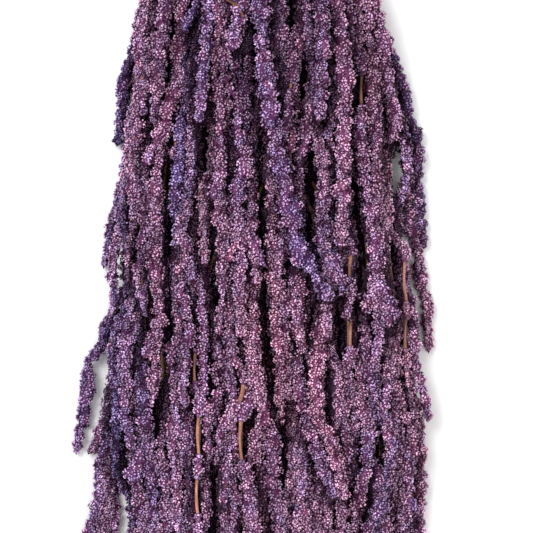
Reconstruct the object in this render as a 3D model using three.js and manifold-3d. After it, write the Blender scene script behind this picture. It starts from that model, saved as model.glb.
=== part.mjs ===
// A tied bunch of preserved hanging amaranth, lying on its side.
// Millimetres. x runs across the bunch, y along it and z up from the surface it lies on.
// While the bunch is laid out y is 0 at the tie, positive towards the cut stem ends and negative to the tips.
import * as THREE from "three";
import { mergeVertices } from "three/addons/utils/BufferGeometryUtils.js";
import Module from "manifold-3d";

const wasm = await Module();
wasm.setup();

const { clamp, lerp, smoothstep } = THREE.MathUtils;

// Driving dimensions
const CUT_END = 45;
const TIP_END = -705;
const TIP_RAGGED = 75;
const STEM_COUNT = 11;
const STEM_RADIUS = { cut: 2.7, middle: 2.1, end: 1.4 };
const STEM_END = { longest: -630, shortest: -550 };
const STEM_SPREAD = 0.84;
const STEM_SIDES = 6;
const STEM_POINT = 2;
const TASSEL_RADIUS = { thin: 4.7, thick: 6.5 };
const TASSEL_SIDES = 5;
const STALK_RADIUS = 2;
const STALK_POINT = 5;
const TIP_POINT = 3;
const SWELL = { from: -10, to: 45 };
const TAPER = { tip: 6, length: 45 };
const SEAT_GAP = 0.3;
const END_ROOM = 5;
const TIE = { width: 14, thickness: 2.4, bundleRadius: 11.6, reach: 22, sides: 24, edge: 0.8 };

// Outline of the lying bunch: place along it, left edge, right edge, height of the pile
const OUTLINE = [
  [45, -13, 13, 27],
  [0, -11, 11, 27],
  [-60, -58, 50, 44],
  [-110, -106, 94, 56],
  [-165, -123, 118, 62],
  [-215, -116, 112, 62],
  [-266, -116, 119, 62],
  [-300, -123, 110, 61],
  [-376, -134, 126, 60],
  [-456, -137, 138, 58],
  [-502, -142, 143, 56],
  [-560, -135, 143, 54],
  [-615, -126, 138, 52],
  [-705, -112, 122, 36],
];
const DOME_POWER = 2.6;

// Layers of tassels: how many, how far across as a share of the half width, how deep under the dome,
// bulk, and how far the upper tassels hang past the base of the lower ones
const LAYERS = [
  { count: 22, reach: 0.95, depth: 5, bulk: 1, overhang: [10, 60] },
  { count: 14, reach: 0.8, depth: 17, bulk: 0.5, overhang: [-40, 10] },
  { count: 18, reach: 0.96, depth: Infinity, bulk: 0.6, overhang: [-40, 10] },
];

// Where the four sprays of a stem leave it: place along the stem, scatter of that place,
// side of the stem, and whether the spray fills the upper half of its lanes or the lower
const SPRAYS = [
  { y: -72, scatter: 20, side: -1, upper: true },
  { y: -112, scatter: 24, side: 1, upper: true },
  { y: -365, scatter: 45, side: -1, upper: false },
  { y: -450, scatter: 40, side: 1, upper: false },
];

// Tassels that stray from the lanes, over the face of the bunch or loose at its edges: the spray
// each belongs to, its full radius, how high it lies, and the places across and along that it passes
const OVER = 1;
const LOOSE = 0;
const STRAY_RISE = 9;
const ROUTE_POINTS = 60;
const stray = (spray, full, rise, ...path) => ({ spray, full, rise, path });
const STRAYS = [
  stray("1_1", 5.4, LOOSE, [-92, -120], [-114, -165], [-116, -224], [-126, -255], [-131, -281]),
  stray("1_1", 5, LOOSE, [-88, -120], [-104, -200], [-106, -262], [-124, -320], [-135, -358], [-143, -393]),
  stray("1_3", 4.6, LOOSE, [-125, -385], [-134, -408], [-142, -428], [-147, -444]),
  stray("1_3", 5.2, LOOSE, [-131, -435], [-138, -462], [-157, -498], [-161, -530], [-167, -552]),
  stray("1_4", 4.6, LOOSE, [-134, -510], [-143, -540], [-152, -552], [-159, -562]),
  stray("1_4", 5.4, LOOSE, [-135, -530], [-143, -570], [-152, -600], [-155, -630], [-157, -665]),
  stray("1_4", 5, LOOSE, [-128, -540], [-133, -580], [-138, -610], [-139, -640], [-138, -680]),
  stray("2_1", 7.2, OVER, [-72, -120], [-96, -165], [-98, -200], [-97, -240], [-94, -272]),
  stray("3_2", 4.6, OVER, [-58, -140], [-70, -165], [-70, -182], [-69, -198]),
  stray("4_1", 5, OVER, [-38, -120], [-52, -165], [-54, -216], [-56, -255], [-55, -277]),
  stray("6_1", 7.4, OVER, [-4, -120], [-8, -157], [-14, -182], [-21, -195], [-30, -206]),
  stray("6_2", 6.6, OVER, [-9, -203], [-6, -245], [7, -304], [19, -342], [33, -390], [53, -413]),
  stray("9_1", 5.6, OVER, [44, -130], [59, -165], [56, -190], [47, -222], [43, -277]),
  stray("9_2", 6.4, OVER, [68, -170], [71, -220], [63, -252], [65, -300], [61, -370]),
  stray("11_1", 6.4, OVER, [78, -120], [98, -165], [104, -210], [111, -255], [110, -292]),
  stray("11_2", 5, LOOSE, [104, -190], [120, -258], [124, -305], [129, -338], [136, -371]),
  stray("11_2", 5.2, LOOSE, [98, -200], [115, -330], [121, -370], [133, -408], [141, -440], [142, -468]),
  stray("11_4", 6, LOOSE, [136, -480], [139, -510], [140, -553], [136, -600], [130, -660]),
  stray("7_4", 6.2, OVER, [22, -490], [29, -510], [38, -543], [47, -566], [58, -585]),
  stray("8_4", 6.2, OVER, [43, -480], [49, -503], [56, -528], [61, -550], [66, -580]),
];

// Openings between the tassels of the face: place across, where it starts and ends along, half width,
// and the height down to which it is open
const DEEP = 24;
const THROUGH = 0;
const SLITS = [
  { x: -4, from: -290, to: -361, half: 3.4, down: DEEP },
  { x: -84, from: -313, to: -363, half: 3.2, down: DEEP },
  { x: -45, from: -363, to: -410, half: 3.6, down: DEEP },
  { x: 36, from: -304, to: -368, half: 4.5, down: DEEP },
  { x: -3, from: -418, to: -469, half: 3, down: DEEP },
  { x: 3, from: -469, to: -494, half: 3.5, down: DEEP },
  { x: 52, from: -486, to: -511, half: 3.5, down: DEEP },
  { x: 15, from: -536, to: -568, half: 3, down: DEEP },
  { x: -49, from: -469, to: -498, half: 3, down: DEEP },
  { x: -46, from: -570, to: -615, half: 5, down: DEEP },
  { x: 60, from: -428, to: -450, half: 5, down: DEEP },
  { x: 80, from: -372, to: -398, half: 5, down: DEEP },
  { x: 32, from: -233, to: -250, half: 4, down: DEEP },
  { x: 21, from: -165, to: -182, half: 4, down: DEEP },
  { x: -52, from: -280, to: -302, half: 3.5, down: DEEP },
  { x: -115, from: -232, to: -244, half: 3, down: THROUGH },
  { x: 102, from: -268, to: -286, half: 3.2, down: THROUGH },
  { x: 111, from: -290, to: -317, half: 4.5, down: THROUGH },
  { x: 95, from: -534, to: -556, half: 2.4, down: THROUGH },
  { x: 88, from: -575, to: -588, half: 3, down: THROUGH },
  { x: 125, from: -386, to: -412, half: 2.6, down: THROUGH },
  { x: 133, from: -428, to: -466, half: 2.6, down: THROUGH },
  { x: -146, from: -480, to: -508, half: 4, down: THROUGH },
  { x: -125, from: -585, to: -640, half: 4, down: THROUGH },
];

// Stretches where a stem comes up to the face and shows
const BARE = [
  { stem: 10, x: 81, from: -226, to: -256 },
  { stem: 9, x: 71, from: -374, to: -402 },
  { stem: 9, x: 74, from: -432, to: -466 },
  { stem: 11, x: 119, from: -376, to: -470 },
  { stem: 4, x: -60, from: -456, to: -492 },
  { stem: 4, x: -58, from: -512, to: -606 },
  { stem: 5, x: -21, from: -478, to: -556 },
];
const BARE_HALF = 2.4;
const BARE_DEPTH = 7;

// How stems leave the tie: how far above or below its axis they lie in it, and where they fan out
const FAN = { bunched: 5, from: 20, to: 160 };

// Waves along the strands: size and length over one radian
const STEM_WAVE = { size: 4, across: 60, up: 75 };
const TASSEL_WAVE = { size: 2.5, across: 55, shift: 0.5 };
const LANE_SCATTER = 0.3;

// How strongly each kind of strand holds to its aim, and how far it gives way to its neighbours
const STEM_TRAITS = { hold: 0.12, give: 0.35 };
const TASSEL_TRAITS = { hold: 0.06, give: 1 };
const STRAY_TRAITS = { hold: 0.6, give: 0.1 };

// Settling: spacing of the cross-sections, passes with and without pull, clearance between strands,
// how fast bends even out and openings clear, and the cross-sections over which a spray's tassels part
const STEP = 15;
const PASSES = 420;
const CALM_PASSES = 120;
const PULL = { start: 1.5, fall: 1.6 };
const CLEARANCE = 0.9;
const EVENING = 0.2;
const CLEARING = 0.5;
const PARTING = 3;
const NEVER_ZERO = 0.01;

// Rings: how far a strand may stray between two of them, and the mend of strands that touch there
const RING_SLACK = 1;
const THINNEST = 1.1;
const MEND_STEP = 5;
const MEND_GAP = 0.4;
const MEND_PASSES = { shift: 60, slim: 60 };

const STATIONS = Math.round((CUT_END - TIP_END) / STEP) + 1;
const stationY = (k) => CUT_END - k * STEP;
const stationAt = (y) => clamp(Math.round((CUT_END - y) / STEP), 0, STATIONS - 1);

const SEED_LIMIT = 2147483647;
const SEED_FACTOR = 16807;
let seed = 4711;
// A repeatable number from low to high.
function random(low, high) {
  seed = (seed * SEED_FACTOR) % SEED_LIMIT;
  return low + ((high - low) * seed) / SEED_LIMIT;
}

// A repeatable start for a wave.
function anyPhase() {
  return random(0, 6);
}

// The outline's middle, half width and height at one place along the bunch.
function outlineAt(y) {
  let i = 1;
  while (i < OUTLINE.length - 1 && OUTLINE[i][0] > y) i += 1;
  const [from, to] = [OUTLINE[i - 1], OUTLINE[i]];
  const share = clamp((from[0] - y) / (from[0] - to[0]), 0, 1);
  const [left, right, height] = [1, 2, 3].map((column) => lerp(from[column], to[column], share));
  return { centre: (left + right) / 2, half: (right - left) / 2, height };
}

// Whether a place along the bunch is inside a stretch of it.
function within(stretch, y) {
  return y <= stretch.from && y >= stretch.to;
}

// Height of the pile's surface at a share of the half width: a dome that comes down at both edges.
function domeHeight(across, height) {
  return height * Math.sqrt(1 - Math.min(1, Math.abs(across)) ** DOME_POWER);
}

// One strand: where it wants to lie, where it lies and how thick it is, at each cross-section it crosses.
function makeStrand(base, end, aimAt, radiusAt, facts) {
  const [first, last] = [stationAt(base), stationAt(end)];
  const strand = { first, last, x: [], z: [], r: [], aimX: [], aimZ: [], ...facts };
  for (let k = first; k <= last; k += 1) {
    const aim = aimAt(stationY(k));
    strand.aimX[k] = aim.x;
    strand.aimZ[k] = aim.z;
    strand.x[k] = aim.x;
    strand.z[k] = aim.z;
    strand.r[k] = radiusAt((k - first) * STEP, (last - k) * STEP);
  }
  return strand;
}

// A stem runs from its cut end through the tie and down the middle of the pile.
function makeStem(index) {
  const across = STEM_SPREAD * ((2 * index) / (STEM_COUNT - 1) - 1);
  const end = random(STEM_END.longest, STEM_END.shortest);
  const phase = anyPhase();
  const bunched = index % 2 ? FAN.bunched : -FAN.bunched;
  const aimAt = (y) => {
    const { centre, half, height } = outlineAt(y);
    const bare = BARE.find((stretch) => stretch.stem === index + 1 && within(stretch, y));
    if (bare) return { x: bare.x, z: domeHeight((bare.x - centre) / half, height) - BARE_DEPTH };
    const free = smoothstep(-y, FAN.from, FAN.to);
    const inPile = 0.5 * domeHeight(across, height) + STEM_WAVE.size * Math.cos(y / STEM_WAVE.up + phase);
    return {
      x: centre + across * half + free * STEM_WAVE.size * Math.sin(y / STEM_WAVE.across + phase),
      z: lerp(tieHeight() + bunched, inPile, free),
    };
  };
  const radiusAt = (down, up) => {
    const share = (2 * down) / (down + up);
    const { cut, middle, end: tip } = STEM_RADIUS;
    return share < 1 ? lerp(cut, middle, share) : lerp(middle, tip, share - 1);
  };
  const facts = { name: "stem_" + (index + 1), across, stem: true, ...STEM_TRAITS };
  return makeStrand(CUT_END, end, aimAt, radiusAt, facts);
}

// Height of the tie's axis above the surface it lies on.
function tieHeight() {
  return TIE.bundleRadius + SEAT_GAP + TIE.thickness;
}

// A tassel's radius: a thin stalk that swells to the full cord, and a rounded taper to its tip.
function tasselRadius(full) {
  return (down, up) => {
    const swell = smoothstep(down, SWELL.from, SWELL.to);
    const taper = Math.sqrt(Math.min(1, (up + TAPER.tip) / TAPER.length));
    return Math.max(STALK_RADIUS, full * swell) * taper;
  };
}

// The lanes that tassels follow down the bunch, in layers, as shares of the half width.
function makeLanes() {
  return LAYERS.flatMap((layer) =>
    Array.from({ length: layer.count }, (_, i) => {
      const even = (2 * i) / (layer.count - 1) - 1;
      const across = layer.reach * even + random(-LANE_SCATTER, LANE_SCATTER) / layer.count;
      return { layer, across, phase: anyPhase() };
    }),
  );
}

// A tassel that follows a lane between two places along the bunch.
function makeLaneTassel(lane, base, end, facts) {
  const { thin, thick } = TASSEL_RADIUS;
  const full = thin + (thick - thin) * lane.layer.bulk * random(0, 1);
  const phase = lane.phase + random(-TASSEL_WAVE.shift, TASSEL_WAVE.shift);
  const aimAt = (y) => {
    const { centre, half, height } = outlineAt(y);
    const under = domeHeight(lane.across, height) - lane.layer.depth;
    return {
      x: centre + lane.across * half + TASSEL_WAVE.size * Math.sin(y / TASSEL_WAVE.across + phase),
      z: Math.max(full, under),
    };
  };
  return makeStrand(base, end, aimAt, tasselRadius(full), { ...TASSEL_TRAITS, ...facts });
}

// A tassel that leaves the lanes and follows a route of its own, high on the face or low at an edge.
function makeStray({ full, rise, path }, base, facts) {
  const through = path.map(([x, y]) => new THREE.Vector2(x, y));
  const route = new THREE.SplineCurve(through).getPoints(ROUTE_POINTS);
  const aimAt = (y) => {
    const passed = route.findIndex((point) => point.y <= y);
    const { x } = route.at(passed);
    const { centre, half, height } = outlineAt(y);
    const top = domeHeight((x - centre) / half, height);
    return { x, z: rise === OVER ? top + STRAY_RISE - full : full };
  };
  const [, end] = path[path.length - 1];
  return makeStrand(base, end, aimAt, tasselRadius(full), { ...STRAY_TRAITS, ...facts });
}

// The stem nearest a lane.
function nearestStem(stems, lane) {
  const far = (stem) => Math.abs(stem.across - lane.across);
  return stems.reduce((best, stem) => (far(stem) < far(best) ? stem : best));
}

// Where a lane's tassel ends: past the base of the lower spray, or raggedly at the foot of the bunch.
function tasselEnd(lane, spray, lower) {
  if (spray.upper) return lower - random(...lane.layer.overhang);
  return TIP_END + random(0, 1) ** 2 * TIP_RAGGED;
}

// The sprays of all stems: each takes the lanes on its side of its stem, in the upper or the lower half.
function makeSprays(stems, lanes) {
  const owned = lanes.map((lane) => {
    const stem = nearestStem(stems, lane);
    return { lane, stem, side: lane.across < stem.across ? -1 : 1 };
  });
  return stems.flatMap((stem) => {
    const places = SPRAYS.map((spray) => spray.y + random(-spray.scatter, spray.scatter));
    return SPRAYS.map((spray, s) => {
      const name = stem.name.replace("stem", "spray") + "_" + (s + 1);
      const facts = { name, own: stem };
      const tassels = owned
        .filter((own) => own.stem === stem && own.side === spray.side)
        .map(({ lane }) => makeLaneTassel(lane, places[s], tasselEnd(lane, spray, places[s + 2]), facts));
      const strays = STRAYS.filter((each) => name === "spray_" + each.spray);
      tassels.push(...strays.map((each) => makeStray(each, places[s], facts)));
      return { name, stem, tassels };
    });
  });
}

// Pins the base of every tassel of a spray to one point beside its stem, on the side its tassels go to,
// and keeps them on that side of the stem at the next cross-section.
function pinSpray({ stem, tassels }) {
  const k = tassels[0].first;
  const ahead = Math.min(k + PARTING, STATIONS - 1);
  const mean = (list) => list.reduce((sum, value) => sum + value, 0) / list.length;
  const awayX = mean(tassels.map((tassel) => tassel.x[ahead] ?? tassel.x[k])) - stem.x[k];
  const awayZ = mean(tassels.map((tassel) => tassel.z[ahead] ?? tassel.z[k])) - stem.z[k];
  const far = Math.hypot(awayX, awayZ);
  const [ux, uz] = [awayX / far, awayZ / far];
  const reach = stem.r[k] + STALK_RADIUS + SEAT_GAP;
  tassels.forEach((tassel) => {
    tassel.x[k] = stem.x[k] + ux * reach;
    tassel.z[k] = Math.max(STALK_RADIUS, stem.z[k] + uz * reach);
    const [offX, offZ] = [tassel.x[k + 1] - stem.x[k + 1], tassel.z[k + 1] - stem.z[k + 1]];
    const short = Math.max(0, reach + CLEARANCE - (offX * ux + offZ * uz));
    tassel.x[k + 1] += short * ux;
    tassel.z[k + 1] += short * uz;
  });
}

// Draws a strand a little towards its aim and evens out its bends.
function relax(strand, pull) {
  const { x, z, first, last, hold } = strand;
  for (let k = first + 1; k <= last; k += 1) {
    x[k] += pull * hold * (strand.aimX[k] - x[k]);
    z[k] += pull * hold * (strand.aimZ[k] - z[k]);
  }
  for (let k = first + 1; k < last; k += 1) {
    x[k] += EVENING * (x[k - 1] + x[k + 1] - 2 * x[k]);
    z[k] += EVENING * (z[k - 1] + z[k + 1] - 2 * z[k]);
  }
}

// Keeps a strand on or above the surface.
function lieOnSurface({ z, r, first, last }) {
  for (let k = first; k <= last; k += 1) z[k] = Math.max(z[k], r[k]);
}

// How near two strands may come at a cross-section: a spray's base meets its stem,
// and its tassels part only gradually below it.
function nearestAllowed(a, b, k) {
  const clear = a.r[k] + b.r[k] + CLEARANCE;
  const atBase = (a.own === b || b.own === a) && k === Math.max(a.first, b.first);
  if (atBase) return 0;
  return a.name === b.name ? clear * clamp((k - a.first) / PARTING, 0, 1) : clear;
}

// Holds an opening clear of the strands that lie higher than it is deep.
function openSlit({ x, from, to, half, down }, strands) {
  for (let k = stationAt(from); k <= stationAt(to); k += 1) {
    const above = strands.filter((strand) => strand.first < k && k <= strand.last && strand.z[k] > down);
    above.forEach((strand) => {
      const off = strand.x[k] - x;
      const short = half + strand.r[k] - Math.abs(off);
      if (short > 0) strand.x[k] += CLEARING * short * Math.sign(off || 1);
    });
  }
}

// Keeps tassels from covering a stretch of stem that shows.
function openBare({ stem, x, from, to }, strands) {
  const others = strands.filter((strand) => strand.name !== "stem_" + stem);
  openSlit({ x, from, to, half: BARE_HALF, down: DEEP }, others);
}

// Pushes two strands apart in one cross-section if they are too near.
function pushApart(a, b, k) {
  const [dx, dz] = [b.x[k] - a.x[k], b.z[k] - a.z[k]];
  const apart = Math.hypot(dx, dz) || NEVER_ZERO;
  const short = nearestAllowed(a, b, k) - apart;
  if (short <= 0) return;
  const [ux, uz] = [dx / apart, dz / apart];
  const share = a.give / (a.give + b.give);
  a.x[k] -= ux * short * share;
  a.z[k] -= uz * short * share;
  b.x[k] += ux * short * (1 - share);
  b.z[k] += uz * short * (1 - share);
}

// Keeps the stems inside the tie.
function gather(stem) {
  for (let k = stem.first; k <= stationAt(-TIE.reach); k += 1) {
    const [dx, dz] = [stem.x[k], stem.z[k] - tieHeight()];
    const room = TIE.bundleRadius - stem.r[k];
    const out = Math.hypot(dx, dz);
    if (out > room) {
      stem.x[k] *= room / out;
      stem.z[k] = tieHeight() + (dz * room) / out;
    }
  }
}

// Settles all strands together until none crowds another.
function settle(strands, sprays, stems) {
  for (let pass = 0; pass < PASSES + CALM_PASSES; pass += 1) {
    if (pass < PASSES) {
      const pull = clamp(PULL.start - (PULL.fall * pass) / PASSES, 0, 1);
      strands.forEach((strand) => relax(strand, pull));
      SLITS.forEach((slit) => openSlit(slit, strands));
      BARE.forEach((bare) => openBare(bare, strands));
    }
    strands.forEach(lieOnSurface);
    sprays.forEach(pinSpray);
    for (let k = 0; k < STATIONS; k += 1) {
      const here = strands.filter((strand) => strand.first <= k && k <= strand.last);
      here.forEach((a, i) => here.slice(i + 1).forEach((b) => pushApart(a, b, k)));
    }
    stems.forEach(gather);
  }
  strands.forEach(lieOnSurface);
  sprays.forEach(pinSpray);
}

// How far a strand strays, at one cross-section, from the straight run between two others.
function straying(strand, from, to, k) {
  const share = (k - from) / (to - from);
  const off = (list) => lerp(list[from], list[to], share) - list[k];
  return Math.max(Math.hypot(off(strand.x), off(strand.z)), Math.abs(off(strand.r)));
}

// The cross-sections between two others that it takes to follow a strand's bends.
function bendsBetween(strand, from, to) {
  let worst = from + 1;
  for (let k = from + 2; k < to; k += 1) {
    if (straying(strand, from, to, k) > straying(strand, from, to, worst)) worst = k;
  }
  if (to - from < 2 || straying(strand, from, to, worst) < RING_SLACK * strand.give) return [];
  return [...bendsBetween(strand, from, worst), worst, ...bendsBetween(strand, worst, to)];
}

// The cross-sections that become rings of a strand's mesh: its ends, the places named, and its bends.
function ringStations(strand, named) {
  const fixed = [strand.first, ...named, strand.last];
  return fixed.flatMap((k, i) => (i ? [...bendsBetween(strand, fixed[i - 1], k), k] : [k]));
}

// Gives every strand its rings. A stem has one just below the tie and one at each spray that leaves it.
function placeRings(stems, sprays) {
  stems.forEach((stem) => {
    const own = sprays.filter((spray) => spray.stem === stem).map((spray) => spray.tassels[0].first);
    stem.rings = ringStations(stem, [stationAt(-STEP), ...own.sort((a, b) => a - b)]);
  });
  sprays.flatMap((spray) => spray.tassels).forEach((tassel) => {
    tassel.rings = ringStations(tassel, [tassel.first + 1, tassel.first + PARTING]);
  });
}

// A strand's place and radius at any height between its rings.
function sectionAt(strand, y) {
  const at = clamp((CUT_END - y) / STEP, strand.first, strand.last);
  if (Math.abs(CUT_END - y - at * STEP) > END_ROOM) return null;
  let i = 1;
  while (strand.rings[i] < at) i += 1;
  const [from, to] = [strand.rings[i - 1], strand.rings[i]];
  const share = (at - from) / (to - from);
  const mix = (list) => lerp(list[from], list[to], share);
  return { strand, from, to, share, x: mix(strand.x), z: mix(strand.z), r: mix(strand.r) };
}

// Moves one ring of a tassel aside. Stems and the bases of tassels stay where they are.
function shiftRing(strand, k, dx, dz) {
  if (strand.stem || k === strand.first) return;
  strand.x[k] += dx;
  strand.z[k] = Math.max(strand.r[k], strand.z[k] + dz);
}

// Moves two strands apart at one section by shifting the rings above and below it.
function shiftApart(a, b, short) {
  const apart = Math.hypot(b.x - a.x, b.z - a.z) || NEVER_ZERO;
  const [dx, dz] = [(b.x - a.x) * short, (b.z - a.z) * short].map((part) => part / (2 * apart));
  [[a, -1], [b, 1]].forEach(([{ strand, from, to, share }, sign]) => {
    shiftRing(strand, from, sign * dx * (1 - share), sign * dz * (1 - share));
    shiftRing(strand, to, sign * dx * share, sign * dz * share);
  });
}

// Slims two strands at one section by narrowing the rings above and below it, the thicker strand more.
function slimBoth(a, b, short) {
  const bulk = a.r ** 2 + b.r ** 2;
  [a, b].forEach(({ strand, from, to, share, r }) => {
    const amount = (short * r ** 2) / bulk;
    strand.r[from] = Math.max(THINNEST, strand.r[from] - amount * (1 - share));
    strand.r[to] = Math.max(THINNEST, strand.r[to] - amount * share);
  });
}

// Whether two strands are tassels of one spray that have not parted yet.
function together(a, b, y) {
  return a.name === b.name && y > stationY(a.first + PARTING);
}

// Mends each place where two strands would still touch between their rings.
function mendTouching(strands, mend) {
  for (let y = CUT_END; y >= TIP_END; y -= MEND_STEP) {
    const here = strands.map((strand) => sectionAt(strand, y)).filter(Boolean);
    here.forEach((a, i) =>
      here.slice(i + 1).forEach((b) => {
        const short = a.r + b.r + MEND_GAP - Math.hypot(a.x - b.x, a.z - b.z);
        if (short > 0 && !together(a.strand, b.strand, y)) mend(a, b, short);
      }),
    );
  }
}

// A closed tapering tube through rings that each lie flat across the bunch, with a point at either end.
function tubeGeometry(rings, sides, start, end) {
  const points = rings.flatMap(({ x, y, z, r }) =>
    Array.from({ length: sides }, (_, i) => {
      const angle = -Math.PI / 2 + (2 * Math.PI * i) / sides;
      return [x + r * Math.cos(angle), y, z + r * Math.sin(angle)];
    }),
  );
  const faces = [];
  const [top, bottom] = [points.length, points.length + 1];
  for (let i = 0; i < sides; i += 1) {
    const next = (i + 1) % sides;
    faces.push(top, next, i);
    for (let ring = 1; ring < rings.length; ring += 1) {
      const [above, below] = [(ring - 1) * sides, ring * sides];
      faces.push(above + i, above + next, below + i);
      faces.push(above + next, below + next, below + i);
    }
    const lowest = (rings.length - 1) * sides;
    faces.push(bottom, lowest + i, lowest + next);
  }
  const geometry = new THREE.BufferGeometry();
  geometry.setAttribute("position", new THREE.Float32BufferAttribute([...points, start, end].flat(), 3));
  geometry.setIndex(faces);
  return geometry;
}

// The tube of one strand, with its two end points a little beyond its first and last rings.
function strandGeometry(strand, sides, startBeyond, endBeyond) {
  const { x, z, r } = strand;
  const rings = strand.rings.map((k) => ({ x: x[k], y: stationY(k), z: z[k], r: r[k] }));
  const [head, tail] = [rings[0], rings[rings.length - 1]];
  const start = [head.x, head.y + startBeyond, head.z];
  const end = [tail.x, tail.y - endBeyond, tail.z];
  return tubeGeometry(rings, sides, start, end);
}

// A closed geometry as a solid that can be joined to others.
function solidOf(geometry) {
  const bare = geometry.clone();
  bare.deleteAttribute("normal");
  bare.deleteAttribute("uv");
  const merged = mergeVertices(bare, 1e-4);
  const vertProperties = new Float32Array(merged.attributes.position.array);
  const triVerts = new Uint32Array(merged.index.array);
  return new wasm.Manifold(new wasm.Mesh({ numProp: 3, vertProperties, triVerts }));
}

// A solid back as a geometry.
function geometryOf(solid) {
  const { vertProperties, triVerts, numProp } = solid.getMesh();
  const geometry = new THREE.BufferGeometry();
  geometry.setAttribute("position", new THREE.BufferAttribute(vertProperties, numProp));
  geometry.setIndex(new THREE.BufferAttribute(triVerts, 1));
  return geometry;
}

// A spray: its tassels joined in the one stalk with which they leave the stem.
function sprayGeometry({ tassels }) {
  const tube = (tassel) => strandGeometry(tassel, TASSEL_SIDES, STALK_POINT, TIP_POINT);
  const parts = tassels.map((tassel) => solidOf(tube(tassel)));
  return geometryOf(parts.reduce((whole, part) => whole.add(part)));
}

// The tie: a flat band round all the stems, with softened edges.
function tieGeometry() {
  const inner = TIE.bundleRadius + SEAT_GAP;
  const outer = inner + TIE.thickness;
  const half = TIE.width / 2;
  const section = [
    [inner, half - TIE.edge],
    [inner, -half + TIE.edge],
    [inner + TIE.edge, -half],
    [outer - TIE.edge, -half],
    [outer, -half + TIE.edge],
    [outer, half - TIE.edge],
    [outer - TIE.edge, half],
    [inner + TIE.edge, half],
    [inner, half - TIE.edge],
  ];
  const outline = section.map(([radius, along]) => new THREE.Vector2(radius, along));
  return new THREE.LatheGeometry(outline, TIE.sides).translate(0, 0, tieHeight());
}

const stemWood = () => new THREE.MeshStandardMaterial({ color: 0xb08a5e, roughness: 0.8, metalness: 0 });
const flowers = () => new THREE.MeshStandardMaterial({ color: 0x6b4a68, roughness: 0.95, metalness: 0 });
const twine = () => new THREE.MeshStandardMaterial({ color: 0xc8b48c, roughness: 0.9, metalness: 0 });

// A named piece of the bunch.
function addPiece(group, name, geometry, material) {
  const piece = new THREE.Mesh(geometry, material);
  piece.name = name;
  group.add(piece);
}

// The whole bunch, with its origin at the middle of the rectangle it covers, on the surface.
function makeBunch() {
  const stems = Array.from({ length: STEM_COUNT }, (_, i) => makeStem(i));
  const sprays = makeSprays(stems, makeLanes()).filter((spray) => spray.tassels.length);
  const strands = [...stems, ...sprays.flatMap((spray) => spray.tassels)];
  settle(strands, sprays, stems);
  placeRings(stems, sprays);
  for (let pass = 0; pass < MEND_PASSES.shift; pass += 1) mendTouching(strands, shiftApart);
  for (let pass = 0; pass < MEND_PASSES.slim; pass += 1) mendTouching(strands, slimBoth);
  const bunch = new THREE.Group();
  stems.forEach((stem) => {
    addPiece(bunch, stem.name, strandGeometry(stem, STEM_SIDES, 0, STEM_POINT), stemWood());
  });
  sprays.forEach((spray) => addPiece(bunch, spray.name, sprayGeometry(spray), flowers()));
  addPiece(bunch, "tie", tieGeometry(), twine());
  const box = new THREE.Box3().setFromObject(bunch);
  const middle = box.getCenter(new THREE.Vector3());
  bunch.position.set(-middle.x, -middle.y, -box.min.z);
  return bunch;
}

export default makeBunch();
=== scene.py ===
import bpy
import numpy as np
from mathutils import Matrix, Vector


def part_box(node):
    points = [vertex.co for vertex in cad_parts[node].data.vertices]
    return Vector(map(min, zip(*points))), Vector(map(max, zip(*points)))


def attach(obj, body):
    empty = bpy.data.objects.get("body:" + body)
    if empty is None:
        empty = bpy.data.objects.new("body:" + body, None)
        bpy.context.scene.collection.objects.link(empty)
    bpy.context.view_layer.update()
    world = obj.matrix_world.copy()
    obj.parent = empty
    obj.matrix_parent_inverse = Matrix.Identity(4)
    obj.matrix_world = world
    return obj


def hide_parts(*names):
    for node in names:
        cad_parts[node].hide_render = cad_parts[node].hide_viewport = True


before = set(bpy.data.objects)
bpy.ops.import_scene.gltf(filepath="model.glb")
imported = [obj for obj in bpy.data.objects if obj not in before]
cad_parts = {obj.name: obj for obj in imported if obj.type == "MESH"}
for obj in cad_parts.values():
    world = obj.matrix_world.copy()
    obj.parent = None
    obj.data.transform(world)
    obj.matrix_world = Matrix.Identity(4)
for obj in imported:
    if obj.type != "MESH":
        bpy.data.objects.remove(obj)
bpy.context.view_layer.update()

# The stems are eleven slim tan stalks, cut straight at one end and gathered in the tie, from where they fan
# out under the tassels. Dry amaranth stalk is ribbed along its length and swells a little at each joint.

MM = 0.001

# Reading a line from a CAD node: planes a slice apart, and a six-sided section's area over radius squared.
SLICE = 2.5 * MM
SLICE_START = 0.37 * SLICE
MERGE_STEP = 1e-6
CHAIN_PASSES = 12
BELL_STEEP = 2.5
HEX_AREA = 2.598

# The stems' surface. The first three rows of points make the worn edge of the cut end.
STEM_SEED = 100
STEM_SMOOTH = 6
STEM_SLIM = 0.9
STEM_ROWS = 5 * MM
STEM_CUT_ROWS = (0, 0.3 * MM, 0.8 * MM)
STEM_WORN = (0.78, 0.95)
STEM_COLUMNS = 12
STEM_RIBS = 5
STEM_RIB = 0.06
STEM_TWIST = 40 * MM
OVAL_TWIST = 1.7
ANY_TURN = (0, 6)
STEM_JOINTS = (35 * MM, 80 * MM)
MOST_JOINTS = 20
STEM_JOINT_REACH = 5 * MM
STEM_SWELL = 0.16

# Their bark: linear colours, how noise darkens it in patches, and bump as strength and depth.
STEM_ROUGHNESS = 0.75
STEM_GRAIN = 12 * MM
STEM_COLOURS = ((0.25, (0.13, 0.055, 0.032)), (0.5, (0.43, 0.22, 0.125)), (0.78, (0.68, 0.42, 0.27)))
PITH_COLOUR = (0.62, 0.52, 0.36)
PATCH_NOISE = (0.35, 0.65)
PATCH_BRIGHT = (0.55, 1.0)
STEM_BUMP = (0.5, 0.6 * MM)


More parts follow.
